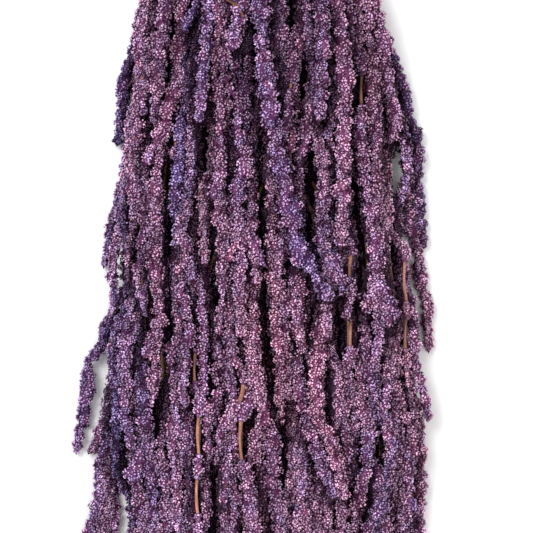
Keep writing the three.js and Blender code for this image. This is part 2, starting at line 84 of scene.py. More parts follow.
def merged_triangles(node):
    """A node's corner points with doubles merged, and its triangles as rows of three point numbers."""
    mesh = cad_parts[node].data
    points = np.empty(len(mesh.vertices) * 3)
    mesh.vertices.foreach_get("co", points)
    corners = np.empty(len(mesh.loops), dtype=np.int64)
    mesh.loops.foreach_get("vertex_index", corners)
    points = points.reshape(-1, 3)
    steps = np.round(points / MERGE_STEP).astype(np.int64)
    _, first, same = np.unique(steps, axis=0, return_index=True, return_inverse=True)
    return points[first], same.reshape(-1)[corners].reshape(-1, 3)


def sections(node):
    """Cut a node by planes across the bunch, SLICE apart.
    Each closed section gives its plane number, middle (x, z) and area. With the section as a chain of
    edges from (x1, z1) to (x2, z2) and c = x1 z2 - x2 z1, the area is half the sum of c, and the middle
    is the sum of (p1 + p2) c over six times the area. A chain's label is its lowest edge number, looked
    for twice as far along at each pass."""
    points, triangles = merged_triangles(node)
    low, high = points[:, 1].min(), points[:, 1].max()
    planes = np.arange(np.ceil((low - SLICE_START) / SLICE), np.floor((high - SLICE_START) / SLICE) + 1)
    above = points[triangles][:, None, :, 1] > (planes * SLICE + SLICE_START)[None, :, None]
    cut, plane = np.nonzero(above.any(axis=2) & ~above.all(axis=2))
    side = above[cut, plane]
    ids = triangles[cut]
    height = planes[plane] * SLICE + SLICE_START

    def crossing(falls):
        """Where each triangle's side crosses its plane, downwards or upwards, and a number for that side."""
        from_side, to_side = side, np.roll(side, -1, axis=1)
        edge = np.argmax((from_side & ~to_side) if falls else (~from_side & to_side), axis=1)
        rows = np.arange(len(ids))
        a, b = ids[rows, edge], ids[rows, (edge + 1) % 3]
        a, b = np.minimum(a, b), np.maximum(a, b)
        share = (height - points[a, 1]) / (points[b, 1] - points[a, 1])
        place = points[a] + share[:, None] * (points[b] - points[a])
        return (plane * len(points) + a) * len(points) + b, place[:, 0], place[:, 2]

    start_key, x1, z1 = crossing(True)
    end_key, x2, z2 = crossing(False)
    follower = np.empty(len(ids), dtype=np.int64)
    follower[np.argsort(end_key)] = np.argsort(start_key)
    label = np.arange(len(ids))
    for _ in range(CHAIN_PASSES):
        label = np.minimum(label, label[follower])
        follower = follower[follower]
    _, chain = np.unique(label, return_inverse=True)
    chain = chain.reshape(-1)
    c = x1 * z2 - x2 * z1
    area = np.bincount(chain, c) / 2
    middle_x = np.bincount(chain, (x1 + x2) * c) / (6 * area)
    middle_z = np.bincount(chain, (z1 + z2) * c) / (6 * area)
    at = np.bincount(chain, planes[plane]) / np.bincount(chain)
    return np.round(at).astype(int), middle_x, middle_z, np.abs(area)


def smoothed(values, reach):
    """Each row becomes the bell-weighted mean of the rows within reach of it; the two ends stay in place."""
    reach = int(min(reach, len(values) - 1))
    if reach < 1:
        return values
    bell = np.exp(-BELL_STEEP * (np.arange(-reach, reach + 1) / reach) ** 2)
    before = 2 * values[:1] - values[reach:0:-1]
    after = 2 * values[-1:] - values[-2:-reach - 2:-1]
    padded = np.concatenate([before, values, after])
    return np.stack([np.convolve(column, bell / bell.sum(), "valid") for column in padded.T], axis=1)


def along(line, places, extra=None):
    """Points at the given distances along a line of points, and extra columns of numbers taken there."""
    steps = np.linalg.norm(np.diff(line, axis=0), axis=1)
    run = np.concatenate([[0], np.cumsum(steps)])
    columns = line if extra is None else np.column_stack([line, extra])
    return np.stack([np.interp(places, run, column) for column in columns.T], axis=1)


def length_of(line):
    """The sum of the distances between a line's points."""
    return np.linalg.norm(np.diff(line, axis=0), axis=1).sum()


def cross_frames(line, guide=(1.0, 0.0, 0.0)):
    """For each point of a line its direction, and two unit vectors square to it and to each other.
    The first is the guide less its part along the line; the second is the cross product with the line."""
    forward = np.gradient(line, axis=0)
    forward /= np.linalg.norm(forward, axis=1)[:, None]
    guide = np.broadcast_to(guide, line.shape)
    across = guide - (guide * forward).sum(axis=1)[:, None] * forward
    across /= np.linalg.norm(across, axis=1)[:, None]
    return forward, across, np.cross(forward, across)


def ring_angles(rows, columns):
    """The angle of each point of a tube's grid: every row goes evenly round once."""
    return np.tile(np.linspace(0, 2 * np.pi, columns, endpoint=False), (rows, 1))


def sweep(line, angle, radius):
    """Points of a tube: the line's point plus radius times (cos angle across + sin angle up)."""
    _, across, up = cross_frames(line)
    side = np.cos(angle)[..., None] * across[:, None] + np.sin(angle)[..., None] * up[:, None]
    return line[:, None] + radius[..., None] * side


def tube_faces(rows, columns, first):
    """Triangles of a closed grid of rows and columns of points, with one pole point before the first row and
    one after the last, numbered rows * columns and the next. Each square is cut between its odd corners."""
    row, column = np.meshgrid(np.arange(rows - 1), np.arange(columns), indexing="ij")
    near = (column + 1) % columns
    a, b = row * columns + column, row * columns + near
    d, c = a + columns, b + columns
    even = ((row + column) % 2 == 0)[..., None]
    one = np.where(even, np.stack([a, b, d], -1), np.stack([a, b, c], -1))
    two = np.where(even, np.stack([b, c, d], -1), np.stack([a, c, d], -1))
    ring = np.arange(columns)
    turn = np.roll(ring, -1)
    top = np.stack([np.full(columns, rows * columns), turn, ring], -1)
    last = (rows - 1) * columns
    foot = np.stack([np.full(columns, rows * columns + 1), last + ring, last + turn], -1)
    return np.concatenate([one.reshape(-1, 3), two.reshape(-1, 3), top, foot]) + first


def strip_map(rows, columns):
    """Flat places for the corners of tube_faces: the column across and the row along. A pole is one row
    further out, half a column over, once for each of its triangles."""
    row, column = np.meshgrid(np.arange(rows - 1.0), np.arange(float(columns)), indexing="ij")
    a, b = np.stack([column, row], -1), np.stack([column + 1, row], -1)
    d, c = a + (0, 1), b + (0, 1)
    even = ((row + column) % 2 == 0)[..., None, None]
    one = np.where(even, np.stack([a, b, d], -2), np.stack([a, b, c], -2))
    two = np.where(even, np.stack([b, c, d], -2), np.stack([a, c, d], -2))
    ring = np.arange(float(columns))
    first = np.zeros(columns)
    last = first + rows - 1
    top = np.array([[ring + 0.5, first - 1], [ring + 1, first], [ring, first]])
    foot = np.array([[ring + 0.5, last + 1], [ring, last], [ring + 1, last]])
    caps = [cap.transpose(2, 0, 1) for cap in (top, foot)]
    return np.concatenate([one.reshape(-1, 3, 2), two.reshape(-1, 3, 2), *caps])


def make_piece(name, points, triangles, flat, attributes, material):
    """A smooth-shaded mesh object from whole arrays: points, triangles, map places and the points' values."""
    mesh = bpy.data.meshes.new(name)
    mesh.vertices.add(len(points))
    mesh.vertices.foreach_set("co", points.astype(np.float32).ravel())
    mesh.loops.add(triangles.size)
    mesh.loops.foreach_set("vertex_index", triangles.astype(np.int32).ravel())
    mesh.polygons.add(len(triangles))
    mesh.polygons.foreach_set("loop_start", np.arange(0, triangles.size, 3, dtype=np.int32))
    mesh.polygons.foreach_set("use_smooth", np.ones(len(triangles), dtype=bool))
    mesh.uv_layers.new(name="OFBake").data.foreach_set("uv", flat.astype(np.float32).ravel())
    for key, values in attributes.items():
        kind, field = ("FLOAT", "value") if values.ndim == 1 else ("FLOAT_VECTOR", "vector")
        layer = mesh.attributes.new(key, kind, "POINT")
        layer.data.foreach_set(field, values.astype(np.float32).ravel())
    mesh.update(calc_edges=True)
    mesh.validate()
    mesh.materials.append(material)
    piece = bpy.data.objects.new(name, mesh)
    bpy.context.scene.collection.objects.link(piece)
    return piece


def node_kit(name, roughness, shine=0.5):
    """A new material, its node tree and surface shader, and a function that adds a node to the tree."""
    material = bpy.data.materials.new(name)
    material.use_nodes = True
    tree = material.node_tree
    shader = tree.nodes["Principled BSDF"]
    shader.inputs["Roughness"].default_value = roughness
    shader.inputs["Specular IOR Level"].default_value = shine

    def add(kind, settings=None, **inputs):
        """A new node. Each input is a number, a colour or another node's output, and goes by the socket's
        name, or by its place after a low line."""
        node = tree.nodes.new(kind)
        for key, value in (settings or {}).items():
            setattr(node, key, value)
        for key, value in inputs.items():
            socket = node.inputs[int(key[1:])] if key[0] == "_" else node.inputs[key]
            if isinstance(value, bpy.types.NodeSocket):
                tree.links.new(value, socket)
            else:
                socket.default_value = value
        return node

    return material, tree, shader, add


def ramp(add, factor, stops):
    """A colour ramp over a factor, with (place, colour) stops. A new ramp has its first two already."""
    node = add("ShaderNodeValToRGB", _0=factor)
    for i, (place, colour) in enumerate(stops):
        stop = node.color_ramp.elements[i] if i < 2 else node.color_ramp.elements.new(place)
        stop.position = place
        stop.color = (*colour, 1)
    return node.outputs[0]


def ranged(add, value, low, high, to_low=0.0, to_high=1.0, kind="LINEAR"):
    """A value moved from one range to another, and held inside it."""
    inputs = {"_0": value, "_1": low, "_2": high, "_3": to_low, "_4": to_high}
    return add("ShaderNodeMapRange", {"interpolation_type": kind}, **inputs).outputs[0]


def mixed(add, share, one, two, blend="MIX"):
    """Two colours mixed by a share, or blended in the way that is named."""
    settings = {"data_type": "RGBA", "blend_type": blend}
    return add("ShaderNodeMix", settings, _0=share, _6=one, _7=two).outputs[2]


def coated(tree, shader, add, colour, relief, bump):
    """Give a surface its colour, and a fine relief as bump of a strength and a depth."""
    tree.links.new(colour, shader.inputs["Base Color"])
    raised = add("ShaderNodeBump", Height=relief, Strength=bump[0], Distance=bump[1])
    tree.links.new(raised.outputs[0], shader.inputs["Normal"])


# The room that is left round each length of a tube's map, in steps.
MAP_ROOM = 1


def place_strips(strips):
    """Pack tube maps in the unit square: each is cut in even lengths, which are laid side by side, with room
    round them. A strip is its map corners, in steps, and its number of columns."""
    width = sum(corners[..., 1].max() - corners[..., 1].min() + 3 * MAP_ROOM for corners, _ in strips)
    across = max(columns for _, columns in strips) + 2 * MAP_ROOM
    count = max(1, int(np.ceil(np.sqrt(width / across))))
    reach = width / count + 2 * MAP_ROOM
    placed, slots = [], 0
    for corners, columns in strips:
        start = corners[:, :, 1].min()
        turn = np.floor((corners[:, :, 1].min(axis=1) - start) / reach)
        u = corners[..., 0] + (slots + turn[:, None]) * across + MAP_ROOM
        v = corners[..., 1] - start - turn[:, None] * reach + MAP_ROOM
        placed.append(np.stack([u, v], -1))
        slots += int(turn.max()) + 1
    size = max(slots * across, reach + 3 * MAP_ROOM)
    return np.concatenate(placed) / size


def stem_line(node):
    """A stem's middles from its cut end down, with its radius as a fourth column, from its sections."""
    at, x, z, area = sections(node)
    order = np.argsort(-at)
    radius = np.sqrt(area / HEX_AREA)
    return smoothed(np.stack([x, at * SLICE + SLICE_START, z, radius], -1)[order], STEM_SMOOTH)


def stem_surface(path, rng):
    """A tube whose radius is the stem's, times 1 + rib depth times (cos(rib count times angle + twist) +
    cos(2 angle - OVAL_TWIST twist)), swollen round each joint by a bell of the distance to it. Its cut end
    is flat with a worn edge. Flow is (cos angle, sin angle, run / STEM_GRAIN). Pith is 1 in the cut's
    middle."""
    line, radius = path[:, :3], path[:, 3]
    run = np.concatenate([STEM_CUT_ROWS, np.arange(0, length_of(line), STEM_ROWS)[1:]])
    placed = along(line, run, radius)
    angle = ring_angles(len(run), STEM_COLUMNS)
    twist = rng.uniform(*ANY_TURN) + run[:, None] / STEM_TWIST
    oval = 2 * angle - OVAL_TWIST * twist
    ribs = 1 + STEM_RIB * np.cos(STEM_RIBS * angle + twist) + STEM_RIB * np.cos(oval)
    joints = np.cumsum(rng.uniform(*STEM_JOINTS, MOST_JOINTS))
    swell = 1 + STEM_SWELL * np.exp(-((run[:, None] - joints) / STEM_JOINT_REACH) ** 2).sum(axis=1)
    worn = np.ones(len(run))
    worn[:2] = STEM_WORN
    reach = placed[:, 3] * STEM_SLIM * swell * worn
    points = sweep(placed[:, :3], angle, reach[:, None] * ribs).reshape(-1, 3)
    poles = np.stack([placed[0, :3], placed[-1, :3] + (0, -STEM_ROWS / 2, 0)])
    grain = np.broadcast_to(run[:, None] / STEM_GRAIN, angle.shape)
    flow = np.stack([np.cos(angle), np.sin(angle), grain], -1).reshape(-1, 3)
    flow = np.concatenate([flow, [[0, 0, 0], [0, 0, run[-1] / STEM_GRAIN]]])
    pith = np.zeros(len(flow))
    pith[-2] = 1
    size = len(run), STEM_COLUMNS
    return np.concatenate([points, poles]), tube_faces(*size, 0), strip_map(*size), flow, pith


def stem_material():
    """Dry ribbed stalk: fibres are noise drawn out along the stem, through a tan ramp. Patches of a coarser
    noise darken it, and the middle of the cut end shows paler pith."""
    material, tree, shader, add = node_kit("dry_stem", STEM_ROUGHNESS)
    flow = add("ShaderNodeAttribute", {"attribute_name": "flow"}).outputs["Vector"]
    fibre = add("ShaderNodeTexNoise", Vector=flow, Scale=3.2, Detail=6.0, Roughness=0.65).outputs["Fac"]
    place = add("ShaderNodeTexCoord").outputs["Object"]
    patch = add("ShaderNodeTexNoise", Vector=place, Scale=55.0, Detail=3.0).outputs["Fac"]
    bright = ranged(add, patch, *PATCH_NOISE, *PATCH_BRIGHT)
    bark = mixed(add, 1.0, ramp(add, fibre, STEM_COLOURS), bright, "MULTIPLY")
    cut = add("ShaderNodeAttribute", {"attribute_name": "pith"}).outputs["Fac"]
    coated(tree, shader, add, mixed(add, cut, bark, (*PITH_COLOUR, 1)), fibre, STEM_BUMP)
    return material


tie_middle = np.mean(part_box("tie"), axis=0)
dry_stem = stem_material()
stem_names = [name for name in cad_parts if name.startswith("stem_")]
stem_names.sort(key=lambda name: int(name.split("_")[1]))
stems = {}
for number, node in enumerate(stem_names):
    stems[node] = stem_line(node)
    rng = np.random.default_rng(STEM_SEED + number)
    points, triangles, corners, flow, pith = stem_surface(stems[node], rng)
    flat = place_strips([(corners, STEM_COLUMNS)])
    piece = make_piece("cut_" + node, points, triangles, flat, {"flow": flow, "pith": pith}, dry_stem)
    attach(piece, "root")
    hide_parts(node)


# The flowers hang in long soft tassels, several to a spray, each spray leaving its stem by one short stalk.
# A tassel is a cord of tiny papery flowers packed in round clusters. They are dyed purple and preserved:
# some are blue violet, some pink mauve. Deep between the clusters their colour is painted nearly black, as
# painted shade.


# Reading the tassels: a five-sided section's area over its radius squared, the stalk that a spray's tassels
# share, and how slim a tassel may get, as a share of its full radius.
PENTAGON_AREA = 2.378
STALK_RADIUS = 1.1 * MM
STALK_JOIN = 8 * MM
BARE_STALK = 10 * MM
SHORTEST = 30 * MM
LINE_SMOOTH = 5
FULL_PERCENT = 80
LEAST_SHARE = 0.55
TIP_SHARE = 0.66
TIP_REACH = 45 * MM


def tassel_lines(node):
    """Every tassel of a spray over SHORTEST long, from the shared stalk to its tip, with its radius as a
    fourth column.
    A section's parent is the nearest section of the next plane up. A tip is a section that is no section's
    parent. The sections that only one tassel passes through are its own, and above them it runs straight to
    the stalk."""
    at, x, z, area = sections(node)
    apart = np.hypot(x[None] - x[:, None], z[None] - z[:, None])
    apart[at[None] != at[:, None] + 1] = np.inf
    parent = np.where(np.isfinite(apart).any(axis=1), np.argmin(apart, axis=1), -1)
    radius = np.sqrt(area / PENTAGON_AREA)
    chains = []
    for tip in np.setdiff1d(np.arange(len(at)), parent):
        chain = [tip]
        while parent[chain[-1]] >= 0:
            chain.append(parent[chain[-1]])
        if len(chain) * SLICE > SHORTEST:
            chains.append(np.array(chain))
    passed = np.bincount(np.concatenate(chains), minlength=len(at))
    lines = []
    for chain in sorted(chains, key=lambda chain: x[chain[0]]):
        own = chain[passed[chain] == 1][::-1]
        kept = np.concatenate([chain[-1:], own]) if len(chains) > 1 else chain[::-1]
        rows = np.stack([x, at * SLICE + SLICE_START, z, radius], -1)[kept]
        rows[0, 3] = STALK_RADIUS
        lines.append(rows)
    return lines


def joined_to_stem(rows, stem):
    """A tassel's rows with a start on its stem's own middle, STALK_JOIN above its base."""
    height = rows[0, 1] + STALK_JOIN
    on_stem = [np.interp(-height, -stem[:, 1], column) for column in stem[:, :3].T]
    return np.concatenate([[[*on_stem, STALK_RADIUS]], rows])


def full_radius(line):
    """The radius that a tassel has along most of it: FULL_PERCENT of its rows are no thicker."""
    return np.percentile(line[:, 3], FULL_PERCENT)


def evened(rows):
    """A tassel's rows a slice apart along it, with bends rounded off and pinched stretches filled out. But
    for the stalk, its radius is never under LEAST_SHARE of its full one, nor under TIP_SHARE at the tip."""
    run = np.arange(0, length_of(rows[:, :3]), SLICE)
    even = along(rows[:, :3], run, rows[:, 3])
    out = np.clip((run - STALK_JOIN - BARE_STALK) / BARE_STALK, 0, 1)
    tip = np.clip(1 - (run[-1] - run) / TIP_REACH, 0, 1)
    least = full_radius(even) * out * (LEAST_SHARE + (TIP_SHARE - LEAST_SHARE) * tip)
    even[:, 3] = np.maximum(np.where(out > 0, even[:, 3], STALK_RADIUS), least)
    return smoothed(even, LINE_SMOOTH)


# How a tassel sways, and how two thin ones turn round each other in about the room of one.
SWAY_STEP = 27 * MM
SWAY = (3.0 * MM, 1.6 * MM)
SWAY_SMOOTH = 4
PAIR_CHANCE = 0.65
PAIR_SHARE = 0.74
PAIR_APART = 0.6
PAIR_LEAN = (-0.4, 0.4)
PAIR_TURN = 0.7
PAIR_WAVE = 26 * MM
PAIR_START = 30 * MM
PAIR_SHORT = (5 * MM, 60 * MM)


def swayed(line, rng):
    """A tassel's rows moved sideways and up or down by random bends SWAY_STEP apart, but for its start."""
    run = np.arange(len(line)) * SLICE
    knots = np.arange(0, run[-1] + 2 * SWAY_STEP, SWAY_STEP)
    bends = rng.normal(0, 1, (2, len(knots))) * np.array(SWAY)[:, None]
    bends[:, 0] = 0
    moved = line.copy()
    for axis, bend in zip((0, 2), bends):
        moved[:, axis] += smoothed(np.interp(run, knots, bend)[:, None], SWAY_SMOOTH)[:, 0]
    return moved


def paired(line, rng):
    """Two thinner tassels in place of one, turning slowly round each other. They are moved by PAIR_APART of
    the radius each way at the angle a + b sin(run / PAIR_WAVE + c). One of a long pair ends a little
    short."""
    run = np.arange(len(line)) * SLICE
    angle = rng.uniform(*PAIR_LEAN) + PAIR_TURN * np.sin(run / PAIR_WAVE + rng.uniform(*ANY_TURN))
    apart = PAIR_APART * line[:, 3] * np.clip(run / PAIR_START, 0, 1)
    rest = rng.permutation([0, rng.uniform(*PAIR_SHORT)]) if run[-1] > 3 * PAIR_SHORT[1] else (0, 0)
    pair = []
    for sign, short in zip((-1, 1), rest):
        strand = line.copy()
        strand[:, 0] += sign * apart * np.cos(angle)
        strand[:, 2] += sign * apart * np.sin(angle)
        strand[:, 3] *= np.where(line[:, 3] > 2 * STALK_RADIUS, PAIR_SHARE, 1)
        pair.append(swayed(strand[:len(line) - int(short / SLICE)], rng))
    return pair


# Short shoots that lie low in the pile, with their spray, and their start and end in mm from the tie.
SHORT_SHOOTS = (
    ("spray_6_2", -4, -172, -4, -392),
    ("spray_4_1", -50, -262, -49, -402),
    ("spray_3_2", -58, -362, -59, -482),
    ("spray_4_3", -58, -452, -59, -592),
    ("spray_7_3", 15, -452, 15, -602),
    ("spray_6_2", -2, -366, -1, -496),
    ("spray_5_2", -21, -406, -21, -502),
    ("spray_8_1", 36, -236, 38, -372),
    ("spray_9_2", 60, -366, 60, -492),
    ("spray_9_2", 71, -326, 72, -442),
    ("spray_10_2", 81, -340, 82, -440),
    ("spray_10_3", 86, -496, 87, -642),
    ("spray_2_2", -86, -386, -86, -486),
    ("spray_1_1", -106, -192, -106, -272),
    ("spray_1_1", -117, -312, -119, -406),
)
SHORT_HEIGHT = 5.5 * MM
SHORT_RADIUS = 6.0 * MM
SHORT_TAPER = 12
SHORT_TIP = 0.5


def short_shoot(start_x, start_y, end_x, end_y):
    """The rows of a short shoot low in the bunch, straight between two places in mm from the tie."""
    start, end = tie_middle[:2] + np.array([[start_x, start_y], [end_x, end_y]]) * MM
    share = np.linspace(0, 1, int(np.linalg.norm(end - start) / SLICE))[:, None]
    level = np.full_like(share, SHORT_HEIGHT)
    girth = SHORT_RADIUS * np.clip(SHORT_TAPER * (1 - share) + SHORT_TIP, 0, 1)
    return np.concatenate([start + share * (end - start), level, girth], axis=1)


# A bare side stalk that bends over the tassels, in mm from the tie: across, along, and over what lies there.
# Its bare stretch has its middle at the start and reaches a metre each way, so all of it is bare.
BENT_STALK = (
    (-58, -138, -9),
    (-46, -158, 1),
    (-37, -164, 2.5),
    (-29, -170, 3),
    (-22, -173, 3),
    (-19.5, -180, 1),
    (-19, -196, -8),
)
BENT_REACH = 8 * MM
BENT_SINK = 0.5
BENT_SMOOTH = 4
BENT_BARE = (0, 1)


def bent_stalk():
    """A bare side stalk that bends over the tassels, smooth through BENT_STALK. A point's height is its own
    third number over the highest z + BENT_SINK radius of the tassels within BENT_REACH."""
    knots = tie_middle[:2] + np.array(BENT_STALK)[:, :2] * MM
    level = np.array(BENT_STALK)[:, 2] * MM
    rows = np.concatenate([line for lines in sprays.values() for line in lines])
    height = rows[:, 2] + BENT_SINK * rows[:, 3]
    tops = [height[np.hypot(*(rows[:, :2] - knot).T) < BENT_REACH].max() for knot in knots]
    bent = np.column_stack([knots, tops + level])
    run = np.arange(0, length_of(bent), SLICE)
    return np.column_stack([smoothed(along(bent, run), BENT_SMOOTH), np.full(len(run), STALK_RADIUS)])


# Openings between the tassels, in mm from the tie: how far across, where they start and end along the bunch,
# half their width, and how high a tassel has to lie to be moved aside.
OPENINGS = (
    (-4, -290, -361, 3.4, 24),
    (-84, -313, -363, 3.2, 24),
    (-45, -363, -410, 3.6, 24),
    (36, -304, -368, 4.5, 24),
    (-3, -418, -469, 3, 24),
    (3, -469, -494, 3.5, 24),
    (52, -486, -511, 3.5, 24),
    (15, -536, -568, 3, 24),
    (-49, -469, -498, 3, 24),
    (-46, -570, -615, 5, 24),
    (60, -428, -450, 5, 24),
    (80, -372, -398, 5, 24),
    (32, -233, -250, 4, 24),
    (21, -165, -182, 4, 24),
    (-52, -280, -302, 3.5, 24),
    (-115, -232, -244, 3, 0),
    (102, -268, -286, 3.2, 0),
    (111, -290, -317, 4.5, 0),
    (95, -534, -556, 2.4, 0),
    (88, -575, -588, 3, 0),
    (125, -386, -412, 2.6, 0),
    (133, -428, -466, 2.6, 0),
    (-146, -480, -508, 4, 0),
    (-125, -585, -640, 4, 0),
)
OPENING_FADE = 22
OPENING_MARGIN = 0.8
OPENING_MOST = 9
OPENING_ENDS = 4


def faded(line, top, foot):
    """The share of a move for each row, 3 s^2 - 2 s^3, with s 1 from top to foot and falling to 0 over
    OPENING_FADE beyond them."""
    y = (line[:, 1] - tie_middle[1]) / MM
    share = np.clip(1 - np.maximum(y - top, foot - y) / OPENING_FADE, 0, 1)
    return share ** 2 * (3 - 2 * share)


def parted(line, openings):
    """A tassel's rows moved aside where it would close an opening, unless it lies lower than the opening
    says. With d its distance from the opening's middle on the side where most of it lies, it moves by radius
    + half width + OPENING_MARGIN - d, from 0 to OPENING_MOST."""
    for middle, top, foot, half, down in openings:
        share = faded(line, top, foot)
        if share.max() == 0 or np.average(line[:, 2], weights=share) < down * MM:
            continue
        off = line[:, 0] - tie_middle[0] - middle * MM
        side = np.sign(np.average(off, weights=share)) or 1
        short = np.clip(line[:, 3] + (half + OPENING_MARGIN) * MM - side * off, 0, OPENING_MOST * MM)
        line = line.copy()
        line[:, 0] += side * short * share
    return line


def blocks(line, openings):
    """Whether a tassel comes within its radius + half width + OPENING_MARGIN of the middle of an opening,
    from OPENING_ENDS before it to as much past it."""
    y = (line[:, 1] - tie_middle[1]) / MM
    for middle, top, foot, half, _ in openings:
        off = abs(line[:, 0] - tie_middle[0] - middle * MM)
        beside = (y < top + OPENING_ENDS) & (y > foot - OPENING_ENDS)
        if (beside & (off < line[:, 3] + (half + OPENING_MARGIN) * MM)).any():
            return True
    return False


# Where a tassel's stalk shows bare, in mm from the tie: how far across, and where that starts and ends.
BARE_PLACES = (
    (81, -226, -256),
    (71, -378, -400),
    (72, -434, -460),
    (119, -382, -424),
    (120, -432, -464),
    (-60, -460, -490),
    (-57, -514, -552),
    (-58, -566, -602),
    (-19, -486, -506),
    (-21, -516, -556),
)
BARE_REACH = 10 * MM
BARE_HALF = 2.2
BARE_LEVEL = 8
BARE_RADIUS = 1.35 * MM
BARE_BEND = 1.2 * MM
BARE_WAVE = 11 * MM


def laid_bare(middle, top, foot, openings):
    """Choose the highest tassel that runs by a place, within BARE_REACH, and bend it to pass right there, in
    a slight wave: BARE_BEND times the sine of y / BARE_WAVE. The other tassels about as high part from it.
    Gives the tassel's spray and number, and the middle and half length of the bare stretch along it."""
    heights = {}
    for node, lines in sprays.items():
        for i, line in enumerate(lines):
            share = faded(line, top, foot)
            if share[0] + share[-1] == 0 < share.max():
                off = np.average(line[:, 0], weights=share) - tie_middle[0] - middle * MM
                if abs(off) < BARE_REACH:
                    heights[node, i] = np.average(line[:, 2], weights=share)
    node, i = max(heights, key=heights.get)
    level = heights[node, i] / MM
    line = sprays[node][i].copy()
    bend = BARE_BEND * np.sin((line[:, 1] - tie_middle[1] - top * MM) / BARE_WAVE)
    line[:, 0] += faded(line, top, foot) * (tie_middle[0] + middle * MM + bend - line[:, 0])
    openings.append((middle, top, foot, BARE_HALF, level - BARE_LEVEL))
    for other, lines in sprays.items():
        sprays[other] = [parted(own, openings[-1:]) for own in lines]
    sprays[node][i] = line
    start, end = np.interp((-top, -foot), -(line[:, 1] - tie_middle[1]) / MM, np.arange(len(line)) * SLICE)
    return node, i, (start + end) / 2, (end - start) / 2


# Side shoots off the tassels that show.
SHOOT_EVERY = 70 * MM
SHOOT_LENGTH = (20 * MM, 42 * MM)
SHOOT_START = 40 * MM
SHOOT_GIRTH = (0.62, 0.85)
SHOOT_ANGLE = (0.12, 0.45)
SHOOT_LIFT = 2.2 * MM
SHOOT_RISE = 3


def side_shoots(line, shown, rng):
    """Short shoots that branch off a tassel where it shows. One runs beside its tassel from a row on: the
    tassel's place, moved sideways by the run times the sine of its angle and up by SHOOT_LIFT, which it
    reaches at a third of its length. One that would close an opening is left out."""
    shoots = []
    for start in np.nonzero(rng.random(len(line)) < SLICE / SHOOT_EVERY)[0]:
        end = start + int(rng.uniform(*SHOOT_LENGTH) / SLICE)
        if start * SLICE < SHOOT_START or end > len(line) - 2 or not shown[start:end].all():
            continue
        shoot = line[start:end].copy()
        run = np.arange(len(shoot)) * SLICE
        girth = rng.uniform(*SHOOT_GIRTH) * np.median(shoot[:, 3])
        shoot[:, 0] += rng.choice((-1, 1)) * np.sin(rng.uniform(*SHOOT_ANGLE)) * run
        shoot[:, 2] += SHOOT_LIFT * np.clip(SHOOT_RISE * run / run[-1], 0, 1)
        shoot[:, 3] = girth
        shoot = swayed(shoot, rng)
        if not blocks(shoot, openings):
            shoots.append(shoot)
    return shoots


# Which stretches of a tassel show: a map of the floor in square cells, and how near the top or side they are.
# Where a tassel is hidden, its rings are further apart and it is a little thicker.
HIDE_CELL = 3 * MM
HIDE_SIZE = (140, 300)
HIDE_LANES = (-0.7, 0, 0.7)
HIDE_SLACK = 0.8 * MM
HIDE_SIDE = 8 * MM
HIDE_SPREAD = np.ones(3)
HIDDEN_STEP = 4
HIDDEN_SMOOTH = 6
UNDER_SPREAD = 0.7


def floor_cells(line):
    """The cells of a floor map under a tassel's middle and near its two sides, and how high it is over each:
    z + radius times the square root of 1 - lane^2, with the lane as a share of the radius."""
    lanes = np.array(HIDE_LANES)
    column = np.round((line[:, :1] + line[:, 3:] * lanes) / HIDE_CELL).astype(int) + HIDE_SIZE[0] // 2
    row = np.round(line[:, 1:2] / HIDE_CELL).astype(int) + HIDE_SIZE[1] // 2
    return column, np.broadcast_to(row, column.shape), line[:, 2:3] + line[:, 3:] * np.sqrt(1 - lanes ** 2)


def rows_in_sight(lines):
    """For each tassel, which rows show: its top is within HIDE_SLACK of the highest one over that cell of
    the floor, or a side is within HIDE_SIDE of the bunch's outermost one. The rows next to these show too."""
    tops = np.full(HIDE_SIZE, -1.0)
    outer = np.zeros((2, HIDE_SIZE[1]))
    for line in lines:
        column, row, top = floor_cells(line)
        np.maximum.at(tops, (column, row), top)
        np.maximum.at(outer[0], row[:, 0], line[:, 3] + line[:, 0])
        np.maximum.at(outer[1], row[:, 0], line[:, 3] - line[:, 0])
    shown = []
    for line in lines:
        column, row, top = floor_cells(line)
        sides = np.stack([line[:, 3] + line[:, 0], line[:, 3] - line[:, 0]])
        beside = (sides > outer[:, row[:, 0]] - HIDE_SIDE).any(axis=0)
        above = (top > tops[column, row] - HIDE_SLACK).any(axis=1)
        shown.append(np.convolve(beside | above, HIDE_SPREAD, "same") > 0)
    return shown


def ring_places(shown, pitch):
    """Where a tassel's rings of points lie, in slices from its start: pitch apart where it shows, and
    HIDDEN_STEP times that where it doesn't. The rings are where the running sum of slice / step is whole."""
    step = pitch * np.where(shown, 1, HIDDEN_STEP)
    count = np.concatenate([[0], np.cumsum(SLICE / step[:-1])])
    return np.interp(np.arange(int(count[-1]) + 1), count, np.arange(len(shown)))


# The round clusters on a tassel, its uneven girth, its few gaps, and its rounded end.
TASSEL_SEED = 1000
CLUSTER_ALONG = 8.0 * MM
CLUSTER_AROUND = 7.0 * MM
CLUSTER_STRAY = 0.34
CLUSTER_REACH = 0.70
CLUSTER_LOW = -4.2 * MM
CLUSTER_RISE = 5.6 * MM
CLUSTER_LIFT = 2.6 * MM
CLUSTER_LEAN = 2.6
SPARE_ROWS = 4
LEAST_LANES = 4
SWELL_STEP = 11 * MM
SWELL_DEPTH = (0.08, 0.26)
SWELL_MEAN = 1.0
SWELL_RANGE = (0.6, 1.45)
GAP_CHANCE = 0.12
GAP_PLACE = (0.2, 0.85)
GAP_HALF = (1.5 * MM, 3.5 * MM)
NO_GAP = 0.01 * MM
GAP_POWER = 12
ROUNDING = 0.95
END_ROUND = 0.9


